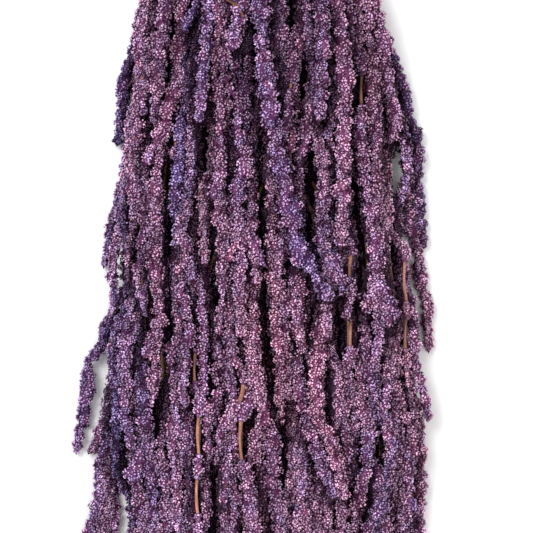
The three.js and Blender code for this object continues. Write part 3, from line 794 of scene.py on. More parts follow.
def cluster_grid(length, girth, rng):
    """A staggered grid of round clusters over a tassel: each one's move from its place, and its tone."""
    shape = int(length / CLUSTER_ALONG) + SPARE_ROWS, max(LEAST_LANES, int(round(girth / CLUSTER_AROUND)))
    return rng.uniform(-CLUSTER_STRAY, CLUSTER_STRAY, (2, *shape)), rng.uniform(0, 1, shape)


def cluster_at(grid, run, angle):
    """The nearest cluster to each point, with d the distance to it in grid steps: its height there, which is
    1 - (d / reach)^2, its tone, and the two parts of d, along and around."""
    move, tone = grid
    lanes = tone.shape[1]
    u = run / CLUSTER_ALONG + 1
    nearest = np.full(run.shape, np.inf)
    kept = np.zeros((3, *run.shape))
    for down in (-1, 0, 1):
        row = np.floor(u).astype(int) + down
        v = angle / (2 * np.pi) * lanes + 0.5 * (row % 2)
        for over in (-1, 0, 1):
            lane = np.floor(v).astype(int) + over
            own = row, lane % lanes
            parts = np.stack([u - row - 0.5 - move[0][own], v - lane - 0.5 - move[1][own]])
            gap = np.hypot(*parts)
            closer = gap < nearest
            nearest = np.where(closer, gap, nearest)
            kept = np.where(closer, np.stack([tone[own], *parts]), kept)
    return np.clip(1 - (nearest / CLUSTER_REACH) ** 2, 0, 1), *kept


def flower_cover(run, start, gaps):
    """Where flowers cover the stalk, from 0 to 1: from past its bare start on, less its gaps.
    A gap's part is 1 - (distance / half length)^GAP_POWER, not under 0."""
    cover = np.clip((run - start) / BARE_STALK, 0, 1)
    for middle, half in gaps:
        cover = cover * (1 - np.clip(1 - ((run - middle) / half) ** GAP_POWER, 0, 1))
    return cover


# The dye of a tassel: its bloom (0 blue violet, 1 pink), shade (0 as dyed, less is darker) and dusk (1 brown
# grey). A cluster adds its own part of bloom and shade.
BLOOM_MEAN = 0.57
BLOOM_SPREAD = 0.11
SHADE_SPREAD = 0.10
DUSK_SPREAD = 0.12
CLUSTER_BLOOM = 0.32
CLUSTER_SHADE = 0.7
TONE_FOLDS = 7

# The dyes of the tassels that stray from the rest: spray, where it ends in mm from the tie, and the dye.
STRAY_DYES = (
    ("spray_1_1", -282, 0.10, -0.30, 0.0),
    ("spray_1_1", -394, 0.35, 0.00, 0.3),
    ("spray_1_3", -444, 0.35, 0.00, 0.3),
    ("spray_1_3", -552, 0.35, 0.02, 0.3),
    ("spray_2_1", -272, 0.60, 0.15, 0.4),
    ("spray_3_2", -198, 0.15, -0.05, 0.0),
    ("spray_4_1", -278, 0.20, -0.02, 0.0),
    ("spray_6_1", -206, 0.42, 0.05, 0.0),
    ("spray_6_1", -196, 0.60, -0.6, 0.0),
    ("spray_6_2", -414, 0.38, 0.02, 0.0),
    ("spray_9_1", -278, 0.45, 0.00, 0.0),
    ("spray_9_2", -370, 0.70, 0.10, 0.0),
    ("spray_11_1", -292, 0.75, 0.08, 0.0),
    ("spray_11_2", -372, 0.30, -0.25, 0.0),
    ("spray_11_2", -468, 0.75, 0.05, 0.0),
    ("spray_11_4", -660, 0.75, 0.05, 0.0),
    ("spray_7_4", -586, 0.42, 0.00, 0.0),
    ("spray_8_4", -580, 0.90, 0.10, 0.0),
)
STRAY_SHARE = 0.75
TIP_MATCH = 9

# Soft regions of the bunch, in mm from the tie: middle, reach, and what they add to bloom, shade and dusk
# there. The shade makes a region lighter or darker.
SOFT_REGIONS = (
    (4, -494, 38, 118, 0.22, 0.08, 0.0),
    (40, -375, 16, 42, -0.28, 0.0, 0.0),
    (27, -190, 35, 40, -0.02, -0.32, 0.0),
    (83, -215, 30, 30, 0.05, -0.15, 0.0),
    (-13, -418, 12, 45, 0.15, 0.30, 0.0),
    (-82, -208, 20, 45, -0.05, -0.15, 0.5),
    (-39, -228, 12, 45, 0.0, -0.05, 0.6),
    (19, -258, 9, 60, 0.0, 0.0, 0.5),
    (-141, -460, 30, 150, -0.2, 0.0, 0.2),
    (-132, -528, 12, 28, -0.18, 0.0, 0.0),
    (83, -548, 10, 24, -0.35, 0.0, 0.0),
    (133, -502, 15, 110, 0.15, -0.06, 0.0),
)


def soft_region(x, y):
    """The sum of the soft regions' bloom, shade and dusk at a place, each times a bell of the distance."""
    x, y = x - tie_middle[0], y - tie_middle[1]
    total = np.zeros((3, *x.shape))
    for middle_x, middle_y, reach_x, reach_y, *parts in SOFT_REGIONS:
        bell = np.exp(-((x / MM - middle_x) / reach_x) ** 2 - ((y / MM - middle_y) / reach_y) ** 2)
        total += np.multiply.outer(parts, bell)
    return total


def stray_dye(node, line):
    """The dye of a tassel that strays, which is told by its spray and by how far from the tie it ends."""
    tip = (line[-1, 1] - tie_middle[1]) / MM
    found = [dye for owner, end, *dye in STRAY_DYES if owner == node and abs(tip - end) < TIP_MATCH]
    return found[0] if found else None


def tassel_dye(node, line, rng):
    """A tassel's bloom, shade and dusk: random, and moved STRAY_SHARE of the way to its dye if it strays."""
    bloom, shade, dusk = rng.normal((BLOOM_MEAN, 0, 0), (BLOOM_SPREAD, SHADE_SPREAD, DUSK_SPREAD))
    own = np.array([bloom, shade, abs(dusk)])
    stray = stray_dye(node, line)
    return own + STRAY_SHARE * (np.array(stray) - own) if stray else own


def tassel_form(line, bare, rng):
    """One tassel's form, as a function of the place along it, in slices, and the angle round it.
    The distance out is radius times swell, plus CLUSTER_LOW, plus the cluster's height times (CLUSTER_RISE +
    CLUSTER_LIFT (tone - 0.5)). It blends to the stalk's radius by the cover, and the end is rounded by the
    square root of 1 - END_ROUND t^2."""
    full, length = full_radius(line), (len(line) - 1) * SLICE
    forward, across, up = cross_frames(line[:, :3])
    columns = np.column_stack([line, forward, across, up]).T
    grid = cluster_grid(length, 2 * np.pi * full, rng)
    knots = np.arange(0, length + 2 * SWELL_STEP, SWELL_STEP)
    swells = np.clip(rng.normal(SWELL_MEAN, rng.uniform(*SWELL_DEPTH), len(knots)), *SWELL_RANGE)
    gap = rng.uniform(*GAP_PLACE) * length, rng.uniform(*GAP_HALF) * (rng.random() < GAP_CHANCE) + NO_GAP
    gaps, stalk = [gap, *bare], BARE_RADIUS if bare else STALK_RADIUS
    start = STALK_JOIN + BARE_STALK if line[0, 3] <= STALK_RADIUS else -BARE_STALK

    def at(place, angle):
        """The surface point, the way that the surface faces, cluster height, cluster tone and cover."""
        place = np.clip(place, 0, len(line) - 1)
        run = place * SLICE
        ridden = np.stack([np.interp(place, np.arange(len(line)), column) for column in columns], -1)
        middle, radius, along_it = ridden[..., :3], ridden[..., 3], ridden[..., 4:7]
        side = np.cos(angle)[..., None] * ridden[..., 7:10] + np.sin(angle)[..., None] * ridden[..., 10:]
        round_it = np.cross(along_it, side)
        stand, tone, over, beside = cluster_at(grid, run, angle)
        cover = flower_cover(run, start, gaps)
        rise = CLUSTER_RISE + CLUSTER_LIFT * (tone - 0.5)
        swell = np.interp(run, knots, swells)
        skin = radius * swell + CLUSTER_LOW + rise * stand
        reach = stalk * swell + np.maximum(skin - stalk * swell, 0) * cover
        into_end = np.clip(1 - (length - run) / (ROUNDING * full), 0, 1)
        reach *= np.sqrt(1 - END_ROUND * into_end ** 2)
        lean = CLUSTER_LEAN * (over[..., None] * along_it - beside[..., None] * round_it)
        facing = side + lean + into_end[..., None] * along_it
        facing /= np.linalg.norm(facing, axis=-1)[..., None]
        return middle + reach[..., None] * side, facing, stand, tone, cover

    return at


def point_values(points, stand, tone, light, cover, tip, grain, dye):
    """The values that the flower material reads at each point: petal (how near a flower's tip, how high on
    its cluster, the flower's random number), dye and shade (bloom, shade, dusk) and cover. A cluster's own
    bloom comes from its tone, and its own shade from the fraction of TONE_FOLDS tone. The shade is times the
    light, so a deep flower is painted darker, as painted shade."""
    region = soft_region(points[..., 0], points[..., 1])
    bloom = dye[0] + region[0] + CLUSTER_BLOOM * (tone - 0.5)
    shade = light * (1 + dye[1] + region[1] + CLUSTER_SHADE * (tone * TONE_FOLDS % 1 - 0.5))
    dusk = np.clip(dye[2] + region[2], 0, 1)
    petal = np.stack([tip, stand, grain], -1).reshape(-1, 3)
    dyed_and_shaded = np.stack([bloom, shade, dusk], -1).reshape(-1, 3)
    return petal, dyed_and_shaded, np.broadcast_to(cover, tip.shape).reshape(-1)


# The lumpy core under the flowers, and its share of the spray's map. CORE_LIGHT is painted shade: the core
# under the flowers is painted darker.
CORE_PITCH = 3.6 * MM
CORE_SINK = 0.6 * MM
CORE_ROUGH = 0.35 * MM
CORE_LIGHT = 0.6
CORE_TIP = 0.35
CORE_MAP_SHARE = 0.2
HIDDEN_TIP = 0.5


def tassel_core(at, line, shown, rng):
    """The lumpy core that the flowers sit on: rings of points CORE_PITCH apart, sunk by CORE_SINK and at
    random by up to CORE_ROUGH. Gives its number of rings and of points in one, and for each point, then for
    its two poles, a row of place (x, y, z), stand, tone, cover, tip and chance. Where it is hidden, every
    other point has a tip of HIDDEN_TIP, in place of the flowers that are left out there."""
    full, places = full_radius(line), ring_places(shown, CORE_PITCH)
    shape = len(places), 2 * max(LEAST_LANES, int(round(np.pi * full / CORE_PITCH)))
    points, facing, stand, tone, cover = at(np.tile(places[:, None], (1, shape[1])), ring_angles(*shape))
    sink = cover * (CORE_SINK + rng.uniform(-CORE_ROUGH, CORE_ROUGH, shape))
    points = points - sink[..., None] * facing
    odd = np.add.outer(*map(np.arange, shape)) % 2
    tip = np.where(shown[places.astype(int)][:, None], 0.0, odd * HIDDEN_TIP)
    rows = np.concatenate([points, np.stack([stand, tone, cover, tip, rng.random(shape)], -1)], axis=-1)
    rows = rows.reshape(-1, rows.shape[-1])
    rows = np.concatenate([rows, rows[[0, -1]]])
    rows[-2:, :3] = line[0, :3], line[-1, :3] + CORE_TIP * full * (line[-1, :3] - line[-2, :3]) / SLICE
    return shape, rows


# The single flowers: three-sided points, and the share of its room on the map that each one's squares take.
GRAIN_SEED = 2000
GRAIN_PITCH = 1.95 * MM
GRAIN_JITTER = 0.42
GRAIN_WIDTH = (1.15 * MM, 1.6 * MM)
GRAIN_HEIGHT = (0.9 * MM, 1.7 * MM)
GRAIN_SINK = 0.5 * MM
GRAIN_TILT = 0.35
GRAIN_MAP_SHARE = 0.76
LEAST_COVER = 0.12
FLOOR_GAP = 0.3 * MM


def grain_places(at, line, rng):
    """Where a tassel's single flowers can sit: a staggered grid GRAIN_PITCH apart, each moved at random by up
    to GRAIN_JITTER of that, where flowers cover the stalk. Gives rows of place (x, y, z), facing (x, y, z),
    cluster height and cluster tone."""
    length, girth = (len(line) - 1) * SLICE, 2 * np.pi * full_radius(line)
    shape = int(length / GRAIN_PITCH), int(girth / GRAIN_PITCH)
    down, over = rng.uniform(-GRAIN_JITTER, GRAIN_JITTER, (2, *shape))
    ring = np.arange(shape[0])[:, None]
    place = (ring + 0.5 + down) * GRAIN_PITCH / SLICE
    angle = (np.arange(shape[1]) + over + 0.5 * (ring % 2)) * 2 * np.pi / shape[1]
    points, facing, stand, tone, cover = at(place.reshape(-1), angle.reshape(-1))
    return np.column_stack([points, facing, stand, tone])[cover > LEAST_COVER]


# Which flowers can be seen, and how much darker the deep ones are painted, as painted shade. The ways to
# look from are an axis and a sign: above, right, left, the tips' end and below. The last one keeps only a
# share of its flowers.
SIGHT_SEED = 5
SIGHT_WAYS = ((2, 1), (0, 1), (0, -1), (1, -1), (2, -1))
SIGHT_CELL = 2.5 * MM
SIGHT_SLACK = 4 * MM
SIGHT_REACH = 2
UNDER_SHARE = 0.4
DEEP = 10 * MM
DEEP_LIGHT = (1.55, 0.42)


def buried(points, axis, sign):
    """How far each point lies below the furthest ones along an axis, on a grid of SIGHT_CELL squares set
    square to that axis: first below the furthest in its own cell, then below the mean over nearby cells of
    the furthest within SIGHT_REACH cells of each."""
    cells = np.round(np.delete(points, axis, axis=1) / SIGHT_CELL).astype(int)
    cells -= cells.min(axis=0) - 2 * SIGHT_REACH
    height = sign * points[:, axis]
    furthest = np.full(cells.max(axis=0) + 2 * SIGHT_REACH + 1, height.min())
    np.maximum.at(furthest, tuple(cells.T), height)
    reach = range(-SIGHT_REACH, SIGHT_REACH + 1)
    steps = [(i, j) for i in reach for j in reach]
    around = np.max([np.roll(furthest, step, (0, 1)) for step in steps], axis=0)
    around = np.mean([np.roll(around, step, (0, 1)) for step in steps], axis=0)
    own = tuple(cells.T)
    return furthest[own] - height, around[own] - height


def grain_skin(places, dye, rng):
    """The single flowers: small three-sided points. Each has three points in a ring that is sunk a little in
    the surface, and its tip out along the way that the surface faces, tilted at random."""
    points, facing, stand, tone, light = places[:, :3], places[:, 3:6], *places[:, 6:].T
    count = len(points)
    facing = facing + rng.normal(0, GRAIN_TILT, (count, 3))
    facing /= np.linalg.norm(facing, axis=1)[:, None]
    across = np.cross(facing, rng.normal(0, 1, (count, 3)))
    across /= np.linalg.norm(across, axis=1)[:, None]
    turn = np.array([0, 2, 4]) * np.pi / 3
    ring = np.cos(turn)[:, None] * across[:, None] + np.sin(turn)[:, None] * np.cross(facing, across)[:, None]
    width, height = rng.uniform(*GRAIN_WIDTH, (count, 1, 1)), rng.uniform(*GRAIN_HEIGHT, (count, 1))
    ring = points[:, None] + width * ring - GRAIN_SINK * facing[:, None]
    corners = np.concatenate([ring, (points + height * facing)[:, None]], axis=1)
    tip = np.tile([0.0, 0.0, 0.0, 1.0], (count, 1))
    each = [np.repeat(value[:, None], 4, axis=1) for value in (stand, tone, light, rng.random(count))]
    return corners.reshape(-1, 3), point_values(corners, *each[:3], 1.0, tip, each[3], dye)


def grain_faces(count, first):
    """Four triangles for each flower: three sides that meet at its tip, the fourth point, and its base."""
    sides = np.array([[0, 1, 3], [1, 2, 3], [2, 0, 3], [0, 2, 1]])
    return (4 * np.arange(count)[:, None, None] + sides + first).reshape(-1, 3)


def grain_map(count):
    """Flat places for the corners of grain_faces: two small squares for each flower, in rows in the unit
    square, each cut in two triangles and shrunk to GRAIN_MAP_SHARE of its room."""
    one = [[[0, 0], [1, 0], [0, 1]], [[1, 0], [1, 1], [0, 1]]]
    two = [[[1, 0], [0, 1], [0, 0]], [[0, 1], [1, 0], [1, 1]]]
    squares = np.array(one + two) * GRAIN_MAP_SHARE + (1 - GRAIN_MAP_SHARE) / 2
    side = int(np.ceil(np.sqrt(2 * count)))
    cell = 2 * np.arange(count)[:, None] + np.array([0, 0, 1, 1])
    corner = np.stack([cell % side, cell // side], -1)
    return (squares + corner[:, :, None]).reshape(-1, 3, 2) / side


def spray_skin(tassels, rng):
    """All the tassels of one spray as one mesh: points, triangles, map places and values. A tassel is its
    dye, its core's shape, the rows of the core's points, and the rows of its single flowers. The rows are
    those of tassel_core and grain_places with the light at each point added. Nothing is below FLOOR_GAP."""
    cores, strips, grains, first = [], [], [], 0
    for dye, shape, core, places in tassels:
        stand, tone, cover, tip, chance, light = core[:, 3:].T
        # The core is painted darker by CORE_LIGHT, as painted shade under the flowers.
        values = point_values(core[:, :3], stand, tone, CORE_LIGHT * light, cover, tip, chance, dye)
        cores.append((core[:, :3], tube_faces(*shape, first), *values))
        strips.append((strip_map(*shape), shape[1]))
        first += len(core)
        points, values = grain_skin(places, dye, rng)
        grains.append((points, *values))
    points, triangles, *values = (np.concatenate(parts) for parts in zip(*cores))
    grain_points, *grain_values = (np.concatenate(parts) for parts in zip(*grains))
    count = len(grain_points) // 4
    core_flat = place_strips(strips) * (1, CORE_MAP_SHARE)
    grain_flat = grain_map(count) * (1, 1 - CORE_MAP_SHARE) + (0, CORE_MAP_SHARE)
    petal, dye, cover = (np.concatenate(pair) for pair in zip(values, grain_values))
    points = np.concatenate([points, grain_points])
    points[:, 2] = np.maximum(points[:, 2], FLOOR_GAP)
    triangles = np.concatenate([triangles, grain_faces(count, first)])
    flat = np.concatenate([core_flat, grain_flat])
    # Each point's dye values also hold the painted shade of deep places, in their shade part.
    return points, triangles, flat, {"petal": petal, "dye": dye, "cover": cover}


# Colours as the eye sees them, at places of the bloom, and of the fine noise on a bare stalk. The crevice
# tints are the flowers' darker bases and painted shade between them; the glint tint is a painted highlight.
EYE_POWER = 2.2
PETAL_TINTS = ((0, (144, 130, 186)), (0.33, (168, 144, 192)), (0.66, (197, 157, 190)), (1, (214, 164, 188)))
CREVICE_TINTS_AND_SHADE = ((0, (64, 34, 88)), (0.5, (88, 31, 78)), (1, (100, 33, 76)))
DUSK_TINT = (134, 110, 116)
PAINTED_GLINT_TINT = (250, 226, 244)
STALK_TINTS = ((0.3, (108, 66, 58)), (0.7, (198, 142, 124)))
STALK_LIGHT = 1.18

# How the flowers' colour follows their values: each pair is a range of the value, or what it becomes. The
# crest and open ranges paint shade into the creases between clusters and into deep places, and the glint
# ranges paint highlights on the palest flowers' tips.
BETWEEN_GRAINS = 0.15
GRAIN_EDGE = (0.02, 0.42)
CREST_STAND = (0.0, 0.8)
CREST_LIGHT = (0.2, 1.0)
OPEN_SHADE = (0.3, 1.0)
OPEN_LIGHT = (0.5, 1.0)
DUSK_SHARE = 0.7
PAINTED_GLINT_GRAINS = (0.8, 1.0)
PAINTED_GLINT_SHARE = (0.0, 0.5)
GRAIN_LIGHT = (0.7, 1.22)
FLAKE_NOISE = (0.3, 0.7)
FLAKE_LIGHT = (0.78, 1.18)
BARE_COVER = (0.04, 0.16)
FLAKE_BUMP = (0.35, 0.3 * MM)
FLOWER_ROUGHNESS = 0.75
FLOWER_SHINE = 0.08


def linear(tint):
    """A colour of 0 to 255 as the eye sees it, in linear light: each part over 255, to the EYE_POWER."""
    return tuple((part / 255) ** EYE_POWER for part in tint)


def painted(tints):
    """The stops of a colour ramp, in linear light."""
    return [(place, linear(tint)) for place, tint in tints]


def flower_material():
    """Papery dyed flowers, with painted shade and painted glints. The colour goes from the crevice's (the
    flowers' darker bases and painted shade) to the petal's by how near the flower's tip is, times how high
    on its cluster, times how open the place is, as told by the shade: so the creases between clusters and
    the deep places are painted darker, as painted shade. It is then multiplied by the shade, which holds the
    painted shade, and by the flower's own brightness. The palest flowers' tips are painted nearly white, as
    painted glints, fine noise breaks each flower up, and a bare stalk shows tan, darkened by the painted
    shade too."""
    material, tree, shader, add = node_kit("dyed_flowers_painted_light", FLOWER_ROUGHNESS, FLOWER_SHINE)
    petal = add("ShaderNodeAttribute", {"attribute_name": "petal"}).outputs["Vector"]
    tip, stand, grain = add("ShaderNodeSeparateXYZ", Vector=petal).outputs
    dye = add("ShaderNodeAttribute", {"attribute_name": "dye"}).outputs["Vector"]
    bloom, shade, dusk = add("ShaderNodeSeparateXYZ", Vector=dye).outputs
    cover = add("ShaderNodeAttribute", {"attribute_name": "cover"}).outputs["Fac"]
    place = add("ShaderNodeTexCoord").outputs["Object"]
    flake = add("ShaderNodeTexNoise", Vector=place, Scale=1500.0, Detail=2.0, Roughness=0.6).outputs["Fac"]

    def product(one, two, plus=0.0):
        """One value times another, plus a third."""
        return add("ShaderNodeMath", {"operation": "MULTIPLY_ADD"}, _0=one, _1=two, _2=plus).outputs[0]

    def brightened(colour, bright):
        """A colour with each of its parts times a brightness."""
        grey = add("ShaderNodeCombineColor", _0=bright, _1=bright, _2=bright).outputs[0]
        return mixed(add, 1.0, colour, grey, "MULTIPLY")

    # Flower tips are lighter than their bases: partly the flowers' own colour, partly painted shade between
    # them.
    out = ranged(add, tip, *GRAIN_EDGE, kind="SMOOTHSTEP")
    # Painted shade: the creases between clusters are darker.
    crest = ranged(add, stand, *CREST_STAND, *CREST_LIGHT)
    # Painted shade: where the shade is low, deep in the bunch, the colour goes towards the crevice's.
    open_air = ranged(add, shade, *OPEN_SHADE, *OPEN_LIGHT)
    lit = product(product(product(out, 1 - BETWEEN_GRAINS, BETWEEN_GRAINS), crest), open_air)
    petals = ramp(add, bloom, painted(PETAL_TINTS))
    dusky = mixed(add, product(dusk, DUSK_SHARE), petals, (*linear(DUSK_TINT), 1))
    # Painted glints: the tips of the palest flowers are painted nearly white.
    pale = product(ranged(add, grain, *PAINTED_GLINT_GRAINS, *PAINTED_GLINT_SHARE), tip)
    with_painted_glints = mixed(add, pale, dusky, (*linear(PAINTED_GLINT_TINT), 1))
    surface = mixed(add, lit, ramp(add, bloom, painted(CREVICE_TINTS_AND_SHADE)), with_painted_glints)
    own = ranged(add, grain, 0.0, 1.0, *GRAIN_LIGHT)
    broken = ranged(add, flake, *FLAKE_NOISE, *FLAKE_LIGHT)
    # The shade holds the tassel's and cluster's tone and the painted shade of deep places.
    coloured = brightened(surface, product(product(own, broken), shade))
    # A bare stalk is darkened by the same painted shade.
    bare = brightened(ramp(add, flake, painted(STALK_TINTS)), product(shade, STALK_LIGHT))
    flowered = ranged(add, cover, *BARE_COVER)
    coated(tree, shader, add, mixed(add, flowered, bare, coloured), flake, FLAKE_BUMP)
    return material


dyed_flowers_painted_light = flower_material()
sprays = {}
for node in sorted(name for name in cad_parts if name.startswith("spray_")):
    stem = stems["stem_" + node.split("_")[1]]
    rng = np.random.default_rng(len(sprays))
    sprays[node] = []
    for rows in tassel_lines(node):
        line = evened(joined_to_stem(rows, stem))
        if stray_dye(node, line):
            sprays[node] += [line]
        else:
            sprays[node] += [swayed(line, rng)] if rng.random() > PAIR_CHANCE else paired(line, rng)
    sprays[node] += [swayed(short_shoot(*ends), rng) for owner, *ends in SHORT_SHOOTS if owner == node]
    sprays[node] = [parted(line, OPENINGS) for line in sprays[node]]

# The tassels where a stalk shows bare: each one's spray and number, and the middle and half length along it.
openings = list(OPENINGS)
naked = [laid_bare(*place, openings) for place in BARE_PLACES]
sprays["spray_6_1"].append(bent_stalk())
naked.append(("spray_6_1", len(sprays["spray_6_1"]) - 1, *BENT_BARE))

# Each tassel's dye, and the points of its core and its flowers. A tassel that is hidden is a little thicker
# there, as its core stands for its flowers.
seen = iter(rows_in_sight([line for lines in sprays.values() for line in lines]))
dyes, shapes, cores, owners, places = [], [], [], [], []
for number, (node, lines) in enumerate(sprays.items()):
    rng = np.random.default_rng(TASSEL_SEED + number)
    inview = [next(seen) for _ in lines]
    for line, shown in list(zip(lines, inview)):
        if not stray_dye(node, line):
            lines += side_shoots(line, shown, rng)
    inview += [np.ones(len(line), dtype=bool) for line in lines[len(inview):]]
    for i, (line, shown) in enumerate(zip(lines, inview)):
        hidden = 1 - smoothed(shown[:, None].astype(float), HIDDEN_SMOOTH)
        line = line * (1, 1, 1, 0) + line[:, 3:] * (1 + UNDER_SPREAD * hidden) * (0, 0, 0, 1)
        bare = [gap[2:] for gap in naked if gap[:2] == (node, i)]
        at = tassel_form(line, bare, rng)
        dyes.append(tassel_dye(node, line, rng))
        owners.append(node)
        places.append(grain_places(at, line, rng))
        shape, core = tassel_core(at, line, shown, rng)
        shapes.append(shape)
        cores.append(core)

# Which flowers are kept, and how much light would reach each point, which is painted into its colour as
# painted shade.
rng = np.random.default_rng(SIGHT_SEED)
every = np.concatenate([rows[:, :3] for rows in places + cores])
depths = np.array([buried(every, *way) for way in SIGHT_WAYS])
kept = depths[:-1, 0].min(axis=0) < SIGHT_SLACK
kept |= (depths[-1, 0] < SIGHT_SLACK) & (rng.random(len(every)) < UNDER_SHARE)
light = np.clip(DEEP_LIGHT[0] - depths[:, 1].min(axis=0) / DEEP, *DEEP_LIGHT[::-1])
ends = np.cumsum([len(rows) for rows in places + cores])[:-1]
kept, light = np.split(kept, ends), np.split(light, ends)
places = [np.column_stack([rows, own])[keep] for rows, own, keep in zip(places, light, kept)]
cores = [np.column_stack([rows, own]) for rows, own in zip(cores, light[len(places):])]

for number, node in enumerate(sprays):
    own = [(dyes[i], shapes[i], cores[i], places[i]) for i, owner in enumerate(owners) if owner == node]
    skin = spray_skin(own, np.random.default_rng(GRAIN_SEED + number))
    piece = make_piece(node.replace("spray", "flowers"), *skin, dyed_flowers_painted_light)
    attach(piece, "root")
    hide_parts(node)


# The tie is soft jute twine of two plies. It is wound round the cut stems six times, close together, and
# finished with a small knot on the upper side that leaves two short loose ends.

# Each ply's radius, how far it lies from the twine's middle, its twist and its points.
PLY_RADIUS = 0.62 * MM
PLY_LAY = 0.52 * MM
PLY_TWIST = 4.4 * MM
PLY_COLUMNS = 8
PLY_GRAIN = 6 * MM
TWINE_SEED = 7
TWINE_RADIUS = PLY_RADIUS + PLY_LAY
TWINE_STEP = 0.55 * MM
TWINE_TINTS = ((0.25, (112, 82, 54)), (0.5, (172, 138, 98)), (0.8, (214, 188, 150)))
TWINE_BUMP = (0.6, 0.3 * MM)
TWINE_ROUGHNESS = 0.85

# The turns, the knot and the loose ends.
TIE_TURNS = 6
TIE_PITCH = 2.15 * MM
TURN_POINTS = 360
WIND_SMOOTH = 9
KNOT_POINTS = 121
KNOT_SIZE = 1.35 * MM
KNOT_HIGH = 1.6
KNOT_FLAT = 0.75
TAIL_LENGTH = 24 * MM
TAIL_POINTS = 60
TAIL_ASIDE = (0.75, 0.2)
TAIL_BACK = (0.55, 1.6)
TAIL_RISE = (0.1, 0.32)
TAIL_WAVE = (0.03, 5)
TAIL_WAVE_PARTS = (0.3, 1, 0.4)


def hull_round(circles, angle):
    """The tight line round circles (x, z, radius): for each direction n the furthest reach h of any circle,
    and the point h n + dh/da t, with t square to n."""
    out = np.stack([np.cos(angle), np.sin(angle)], -1)
    reach = (out @ circles[:, :2].T + circles[:, 2]).max(axis=1)
    turn = np.gradient(reach, angle)
    return reach[:, None] * out + turn[:, None] * np.stack([-np.sin(angle), np.cos(angle)], -1)


def winding(middle):
    """Twine round the stems: the tight line round them, moved TIE_PITCH along the bunch at each turn."""
    circles = []
    for line in stems.values():
        at = [np.interp(-middle[1], -line[:, 1], column) for column in line.T]
        circles.append((at[0], at[2], at[3] * STEM_SLIM + TWINE_RADIUS))
    angle = np.linspace(np.pi / 2, np.pi / 2 + TIE_TURNS * 2 * np.pi, TIE_TURNS * TURN_POINTS)
    ring = smoothed(hull_round(np.array(circles), angle), WIND_SMOOTH)
    lift = middle[1] + TIE_PITCH * ((angle - angle[0]) / (2 * np.pi) - TIE_TURNS / 2)
    return np.stack([ring[:, 0], lift, ring[:, 1]], -1)


def knot_line(middle):
    """A trefoil: KNOT_SIZE times (sin t + 2 sin 2t, cos t - 2 cos 2t, -KNOT_FLAT KNOT_HIGH sin 3t)."""
    t = np.linspace(0, 2 * np.pi, KNOT_POINTS)
    x, y = np.sin(t) + 2 * np.sin(2 * t), np.cos(t) - 2 * np.cos(2 * t)
    return middle + KNOT_SIZE * np.stack([x, y, -KNOT_FLAT * KNOT_HIGH * np.sin(3 * t)], -1)


def loose_end(start, side, rng):
    """A loose end. With s the share of its length, it goes a s - b s^2 sideways, c s^d along the stems and
    e s - f s^2 up, plus a small wave that grows with s."""
    share = np.linspace(0, 1, TAIL_POINTS)
    aside = side * (share * TAIL_ASIDE[0] - TAIL_ASIDE[1] * share ** 2)
    back = -TAIL_BACK[0] * share ** TAIL_BACK[1] * side
    rise = TAIL_RISE[0] * share - TAIL_RISE[1] * share ** 2
    bend = np.stack([aside, back, rise], -1)
    wave = TAIL_WAVE[0] * np.sin(TAIL_WAVE[1] * share + rng.uniform(*ANY_TURN))[:, None] * TAIL_WAVE_PARTS
    return start + TAIL_LENGTH * (bend + wave * share[:, None])


def twine_surface(line, side, first):
    """Two plies wound round a line, half a turn apart: a ply's middle is the line's point plus PLY_LAY times
    (cos a across + sin a up), with a one turn for each PLY_TWIST of run. Across is as near as it can be to
    the side that is given. Flow turns back twice as fast as the ply, as its fibres do."""
    length = length_of(line)
    run = np.arange(0, length, TWINE_STEP)
    middle = along(line, run)
    sides = np.broadcast_to(side, line.shape)
    guide = np.stack([np.interp(run, np.linspace(0, length, len(line)), column) for column in sides.T], -1)
    _, across, up = cross_frames(middle, guide)
    parts = []
    for ply in (0, 1):
        turn = 2 * np.pi * run / PLY_TWIST + np.pi * ply
        centre = middle + PLY_LAY * (np.cos(turn)[:, None] * across + np.sin(turn)[:, None] * up)
        angle = ring_angles(len(run), PLY_COLUMNS)
        out = np.cos(angle)[..., None] * across[:, None] + np.sin(angle)[..., None] * up[:, None]
        skin = (centre[:, None] + PLY_RADIUS * out).reshape(-1, 3)
        slant = angle - 2 * turn[:, None]
        grain = np.broadcast_to(run[:, None] / PLY_GRAIN, angle.shape)
        fibre = np.stack([np.cos(slant), np.sin(slant), grain], -1).reshape(-1, 3)
        points = np.concatenate([skin, centre[[0, -1]]])
        flow = np.concatenate([fibre, fibre[[0, -1]]])
        size = len(run), PLY_COLUMNS
        parts.append((points, tube_faces(*size, first), strip_map(*size), flow))
        first += len(points)
    return parts


def twine_material():
    """Jute: hairy fibres drawn out along each ply, straw and brown."""
    material, tree, shader, add = node_kit("jute_twine", TWINE_ROUGHNESS)
    flow = add("ShaderNodeAttribute", {"attribute_name": "flow"}).outputs["Vector"]
    fibre = add("ShaderNodeTexNoise", Vector=flow, Scale=3.5, Detail=6.0, Roughness=0.7).outputs["Fac"]
    coated(tree, shader, add, ramp(add, fibre, painted(TWINE_TINTS)), fibre, TWINE_BUMP)
    return material


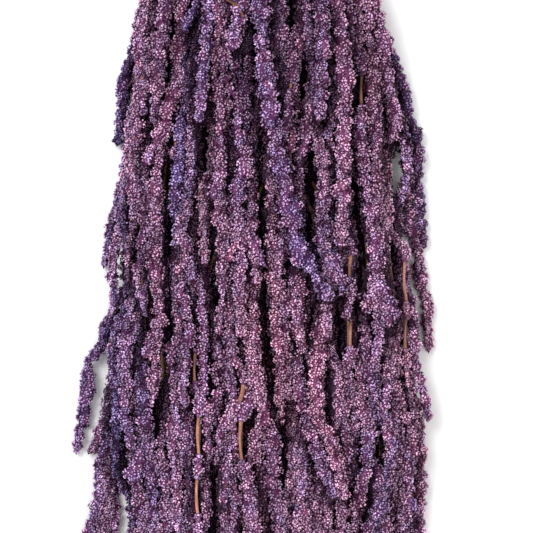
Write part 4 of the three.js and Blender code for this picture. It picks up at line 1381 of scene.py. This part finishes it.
wound = winding(tie_middle)
knot_middle = wound[0] + (0, TIE_TURNS / 2 * TIE_PITCH, TWINE_RADIUS + KNOT_HIGH * KNOT_SIZE)
rng = np.random.default_rng(TWINE_SEED)
knot = knot_line(knot_middle)
twine_lines = [(wound, np.array([0, 1.0, 0])), (knot, knot - knot_middle)]
for side in (-1, 1):
    twine_lines.append((loose_end(knot_middle + (side * KNOT_SIZE, 0, 0), side, rng), np.array([0, 0, 1.0])))
parts = []
for line, guide in twine_lines:
    parts += twine_surface(line, guide, sum(len(part[0]) for part in parts))
points, triangles, _, flow = (np.concatenate(columns) for columns in zip(*parts))
flat = place_strips([(part[2], PLY_COLUMNS) for part in parts])
twine = make_piece("twine_tie", points, triangles, flat, {"flow": flow}, twine_material())
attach(twine, "root")
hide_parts("tie")


# The bunch lies on a plain pale floor under a soft light from all around, brighter from the upper left.
# The camera looks straight down on the flowers.

FLOOR_REACH = 3.0
FLOOR_RINGS = 5
FLOOR_SIDES = 32
FLOOR_COLOUR = (0.92, 0.92, 0.92)
FLOOR_ROUGHNESS = 0.9
FLOOR_SHINE = 0.1

# The lights' places, sizes in metres and power in watts, and the brightness of the sky round them.
KEY_LIGHT = ((-0.9, 0.9, 1.7), 1.0, 34)
FILL_LIGHT = ((1.2, -0.9, 1.6), 1.4, 12)
SKY_LIGHT = 0.75

# The camera: how far from the tie it looks, its lens, and the width that it sees at a height in the bunch.
VIEW_ALONG = -0.390
LENS_MM = 85
SENSOR_MM = 36
SEEN_WIDTH = 0.450
SEEN_HEIGHT = 0.045


def floor_surface():
    """A flat round sheet: FLOOR_RINGS even steps out to FLOOR_REACH, each a ring of FLOOR_SIDES points at
    (reach cos angle, reach sin angle), joined by four-sided faces, and by triangles to a middle point."""
    reach = FLOOR_REACH * np.linspace(0, 1, FLOOR_RINGS + 1)[1:, None]
    angle = ring_angles(FLOOR_RINGS, FLOOR_SIDES)
    rings = np.stack([reach * np.cos(angle), reach * np.sin(angle), 0 * angle], -1).reshape(-1, 3)
    side = np.arange(FLOOR_SIDES)
    turn = np.roll(side, -1)
    first = FLOOR_SIDES * np.arange(FLOOR_RINGS - 1)[:, None]
    after = first + FLOOR_SIDES
    squares = np.stack([first + side, after + side, after + turn, first + turn], -1)
    middle = np.stack([np.full(FLOOR_SIDES, len(rings)), side, turn], -1)
    return np.concatenate([rings, [[0, 0, 0]]]), squares.reshape(-1, 4).tolist() + middle.tolist()


floor_points, floor_faces = floor_surface()
floor_mesh = bpy.data.meshes.new("floor")
floor_mesh.from_pydata(floor_points.tolist(), [], floor_faces)
floor = bpy.data.objects.new("floor", floor_mesh)
bpy.context.scene.collection.objects.link(floor)
pale, _, pale_shader, _ = node_kit("pale_floor", FLOOR_ROUGHNESS, FLOOR_SHINE)
pale_shader.inputs["Base Color"].default_value = (*FLOOR_COLOUR, 1)
floor_mesh.materials.append(pale)


def soft_light(name, place, size, power):
    """A square light of a given size, pointed at the middle of the bunch."""
    lamp = bpy.data.lights.new(name, "AREA")
    lamp.size = size
    lamp.energy = power
    holder = bpy.data.objects.new(name, lamp)
    holder.location = place
    holder.rotation_euler = (-Vector(place)).to_track_quat("-Z", "Y").to_euler()
    bpy.context.scene.collection.objects.link(holder)


soft_light("key_light", *KEY_LIGHT)
soft_light("fill_light", *FILL_LIGHT)

sky = bpy.data.worlds.new("studio")
bpy.context.scene.world = sky
sky.use_nodes = True
sky.node_tree.nodes["Background"].inputs["Color"].default_value = (1, 1, 1, 1)
sky.node_tree.nodes["Background"].inputs["Strength"].default_value = SKY_LIGHT
bpy.context.scene.view_settings.view_transform = "Standard"

camera = bpy.data.cameras.new("camera")
camera.lens = LENS_MM
camera.sensor_width = SENSOR_MM
holder = bpy.data.objects.new("camera", camera)
bpy.context.scene.collection.objects.link(holder)
holder.location = (tie_middle[0], tie_middle[1] + VIEW_ALONG, SEEN_HEIGHT + SEEN_WIDTH * LENS_MM / SENSOR_MM)
bpy.context.scene.camera = holder
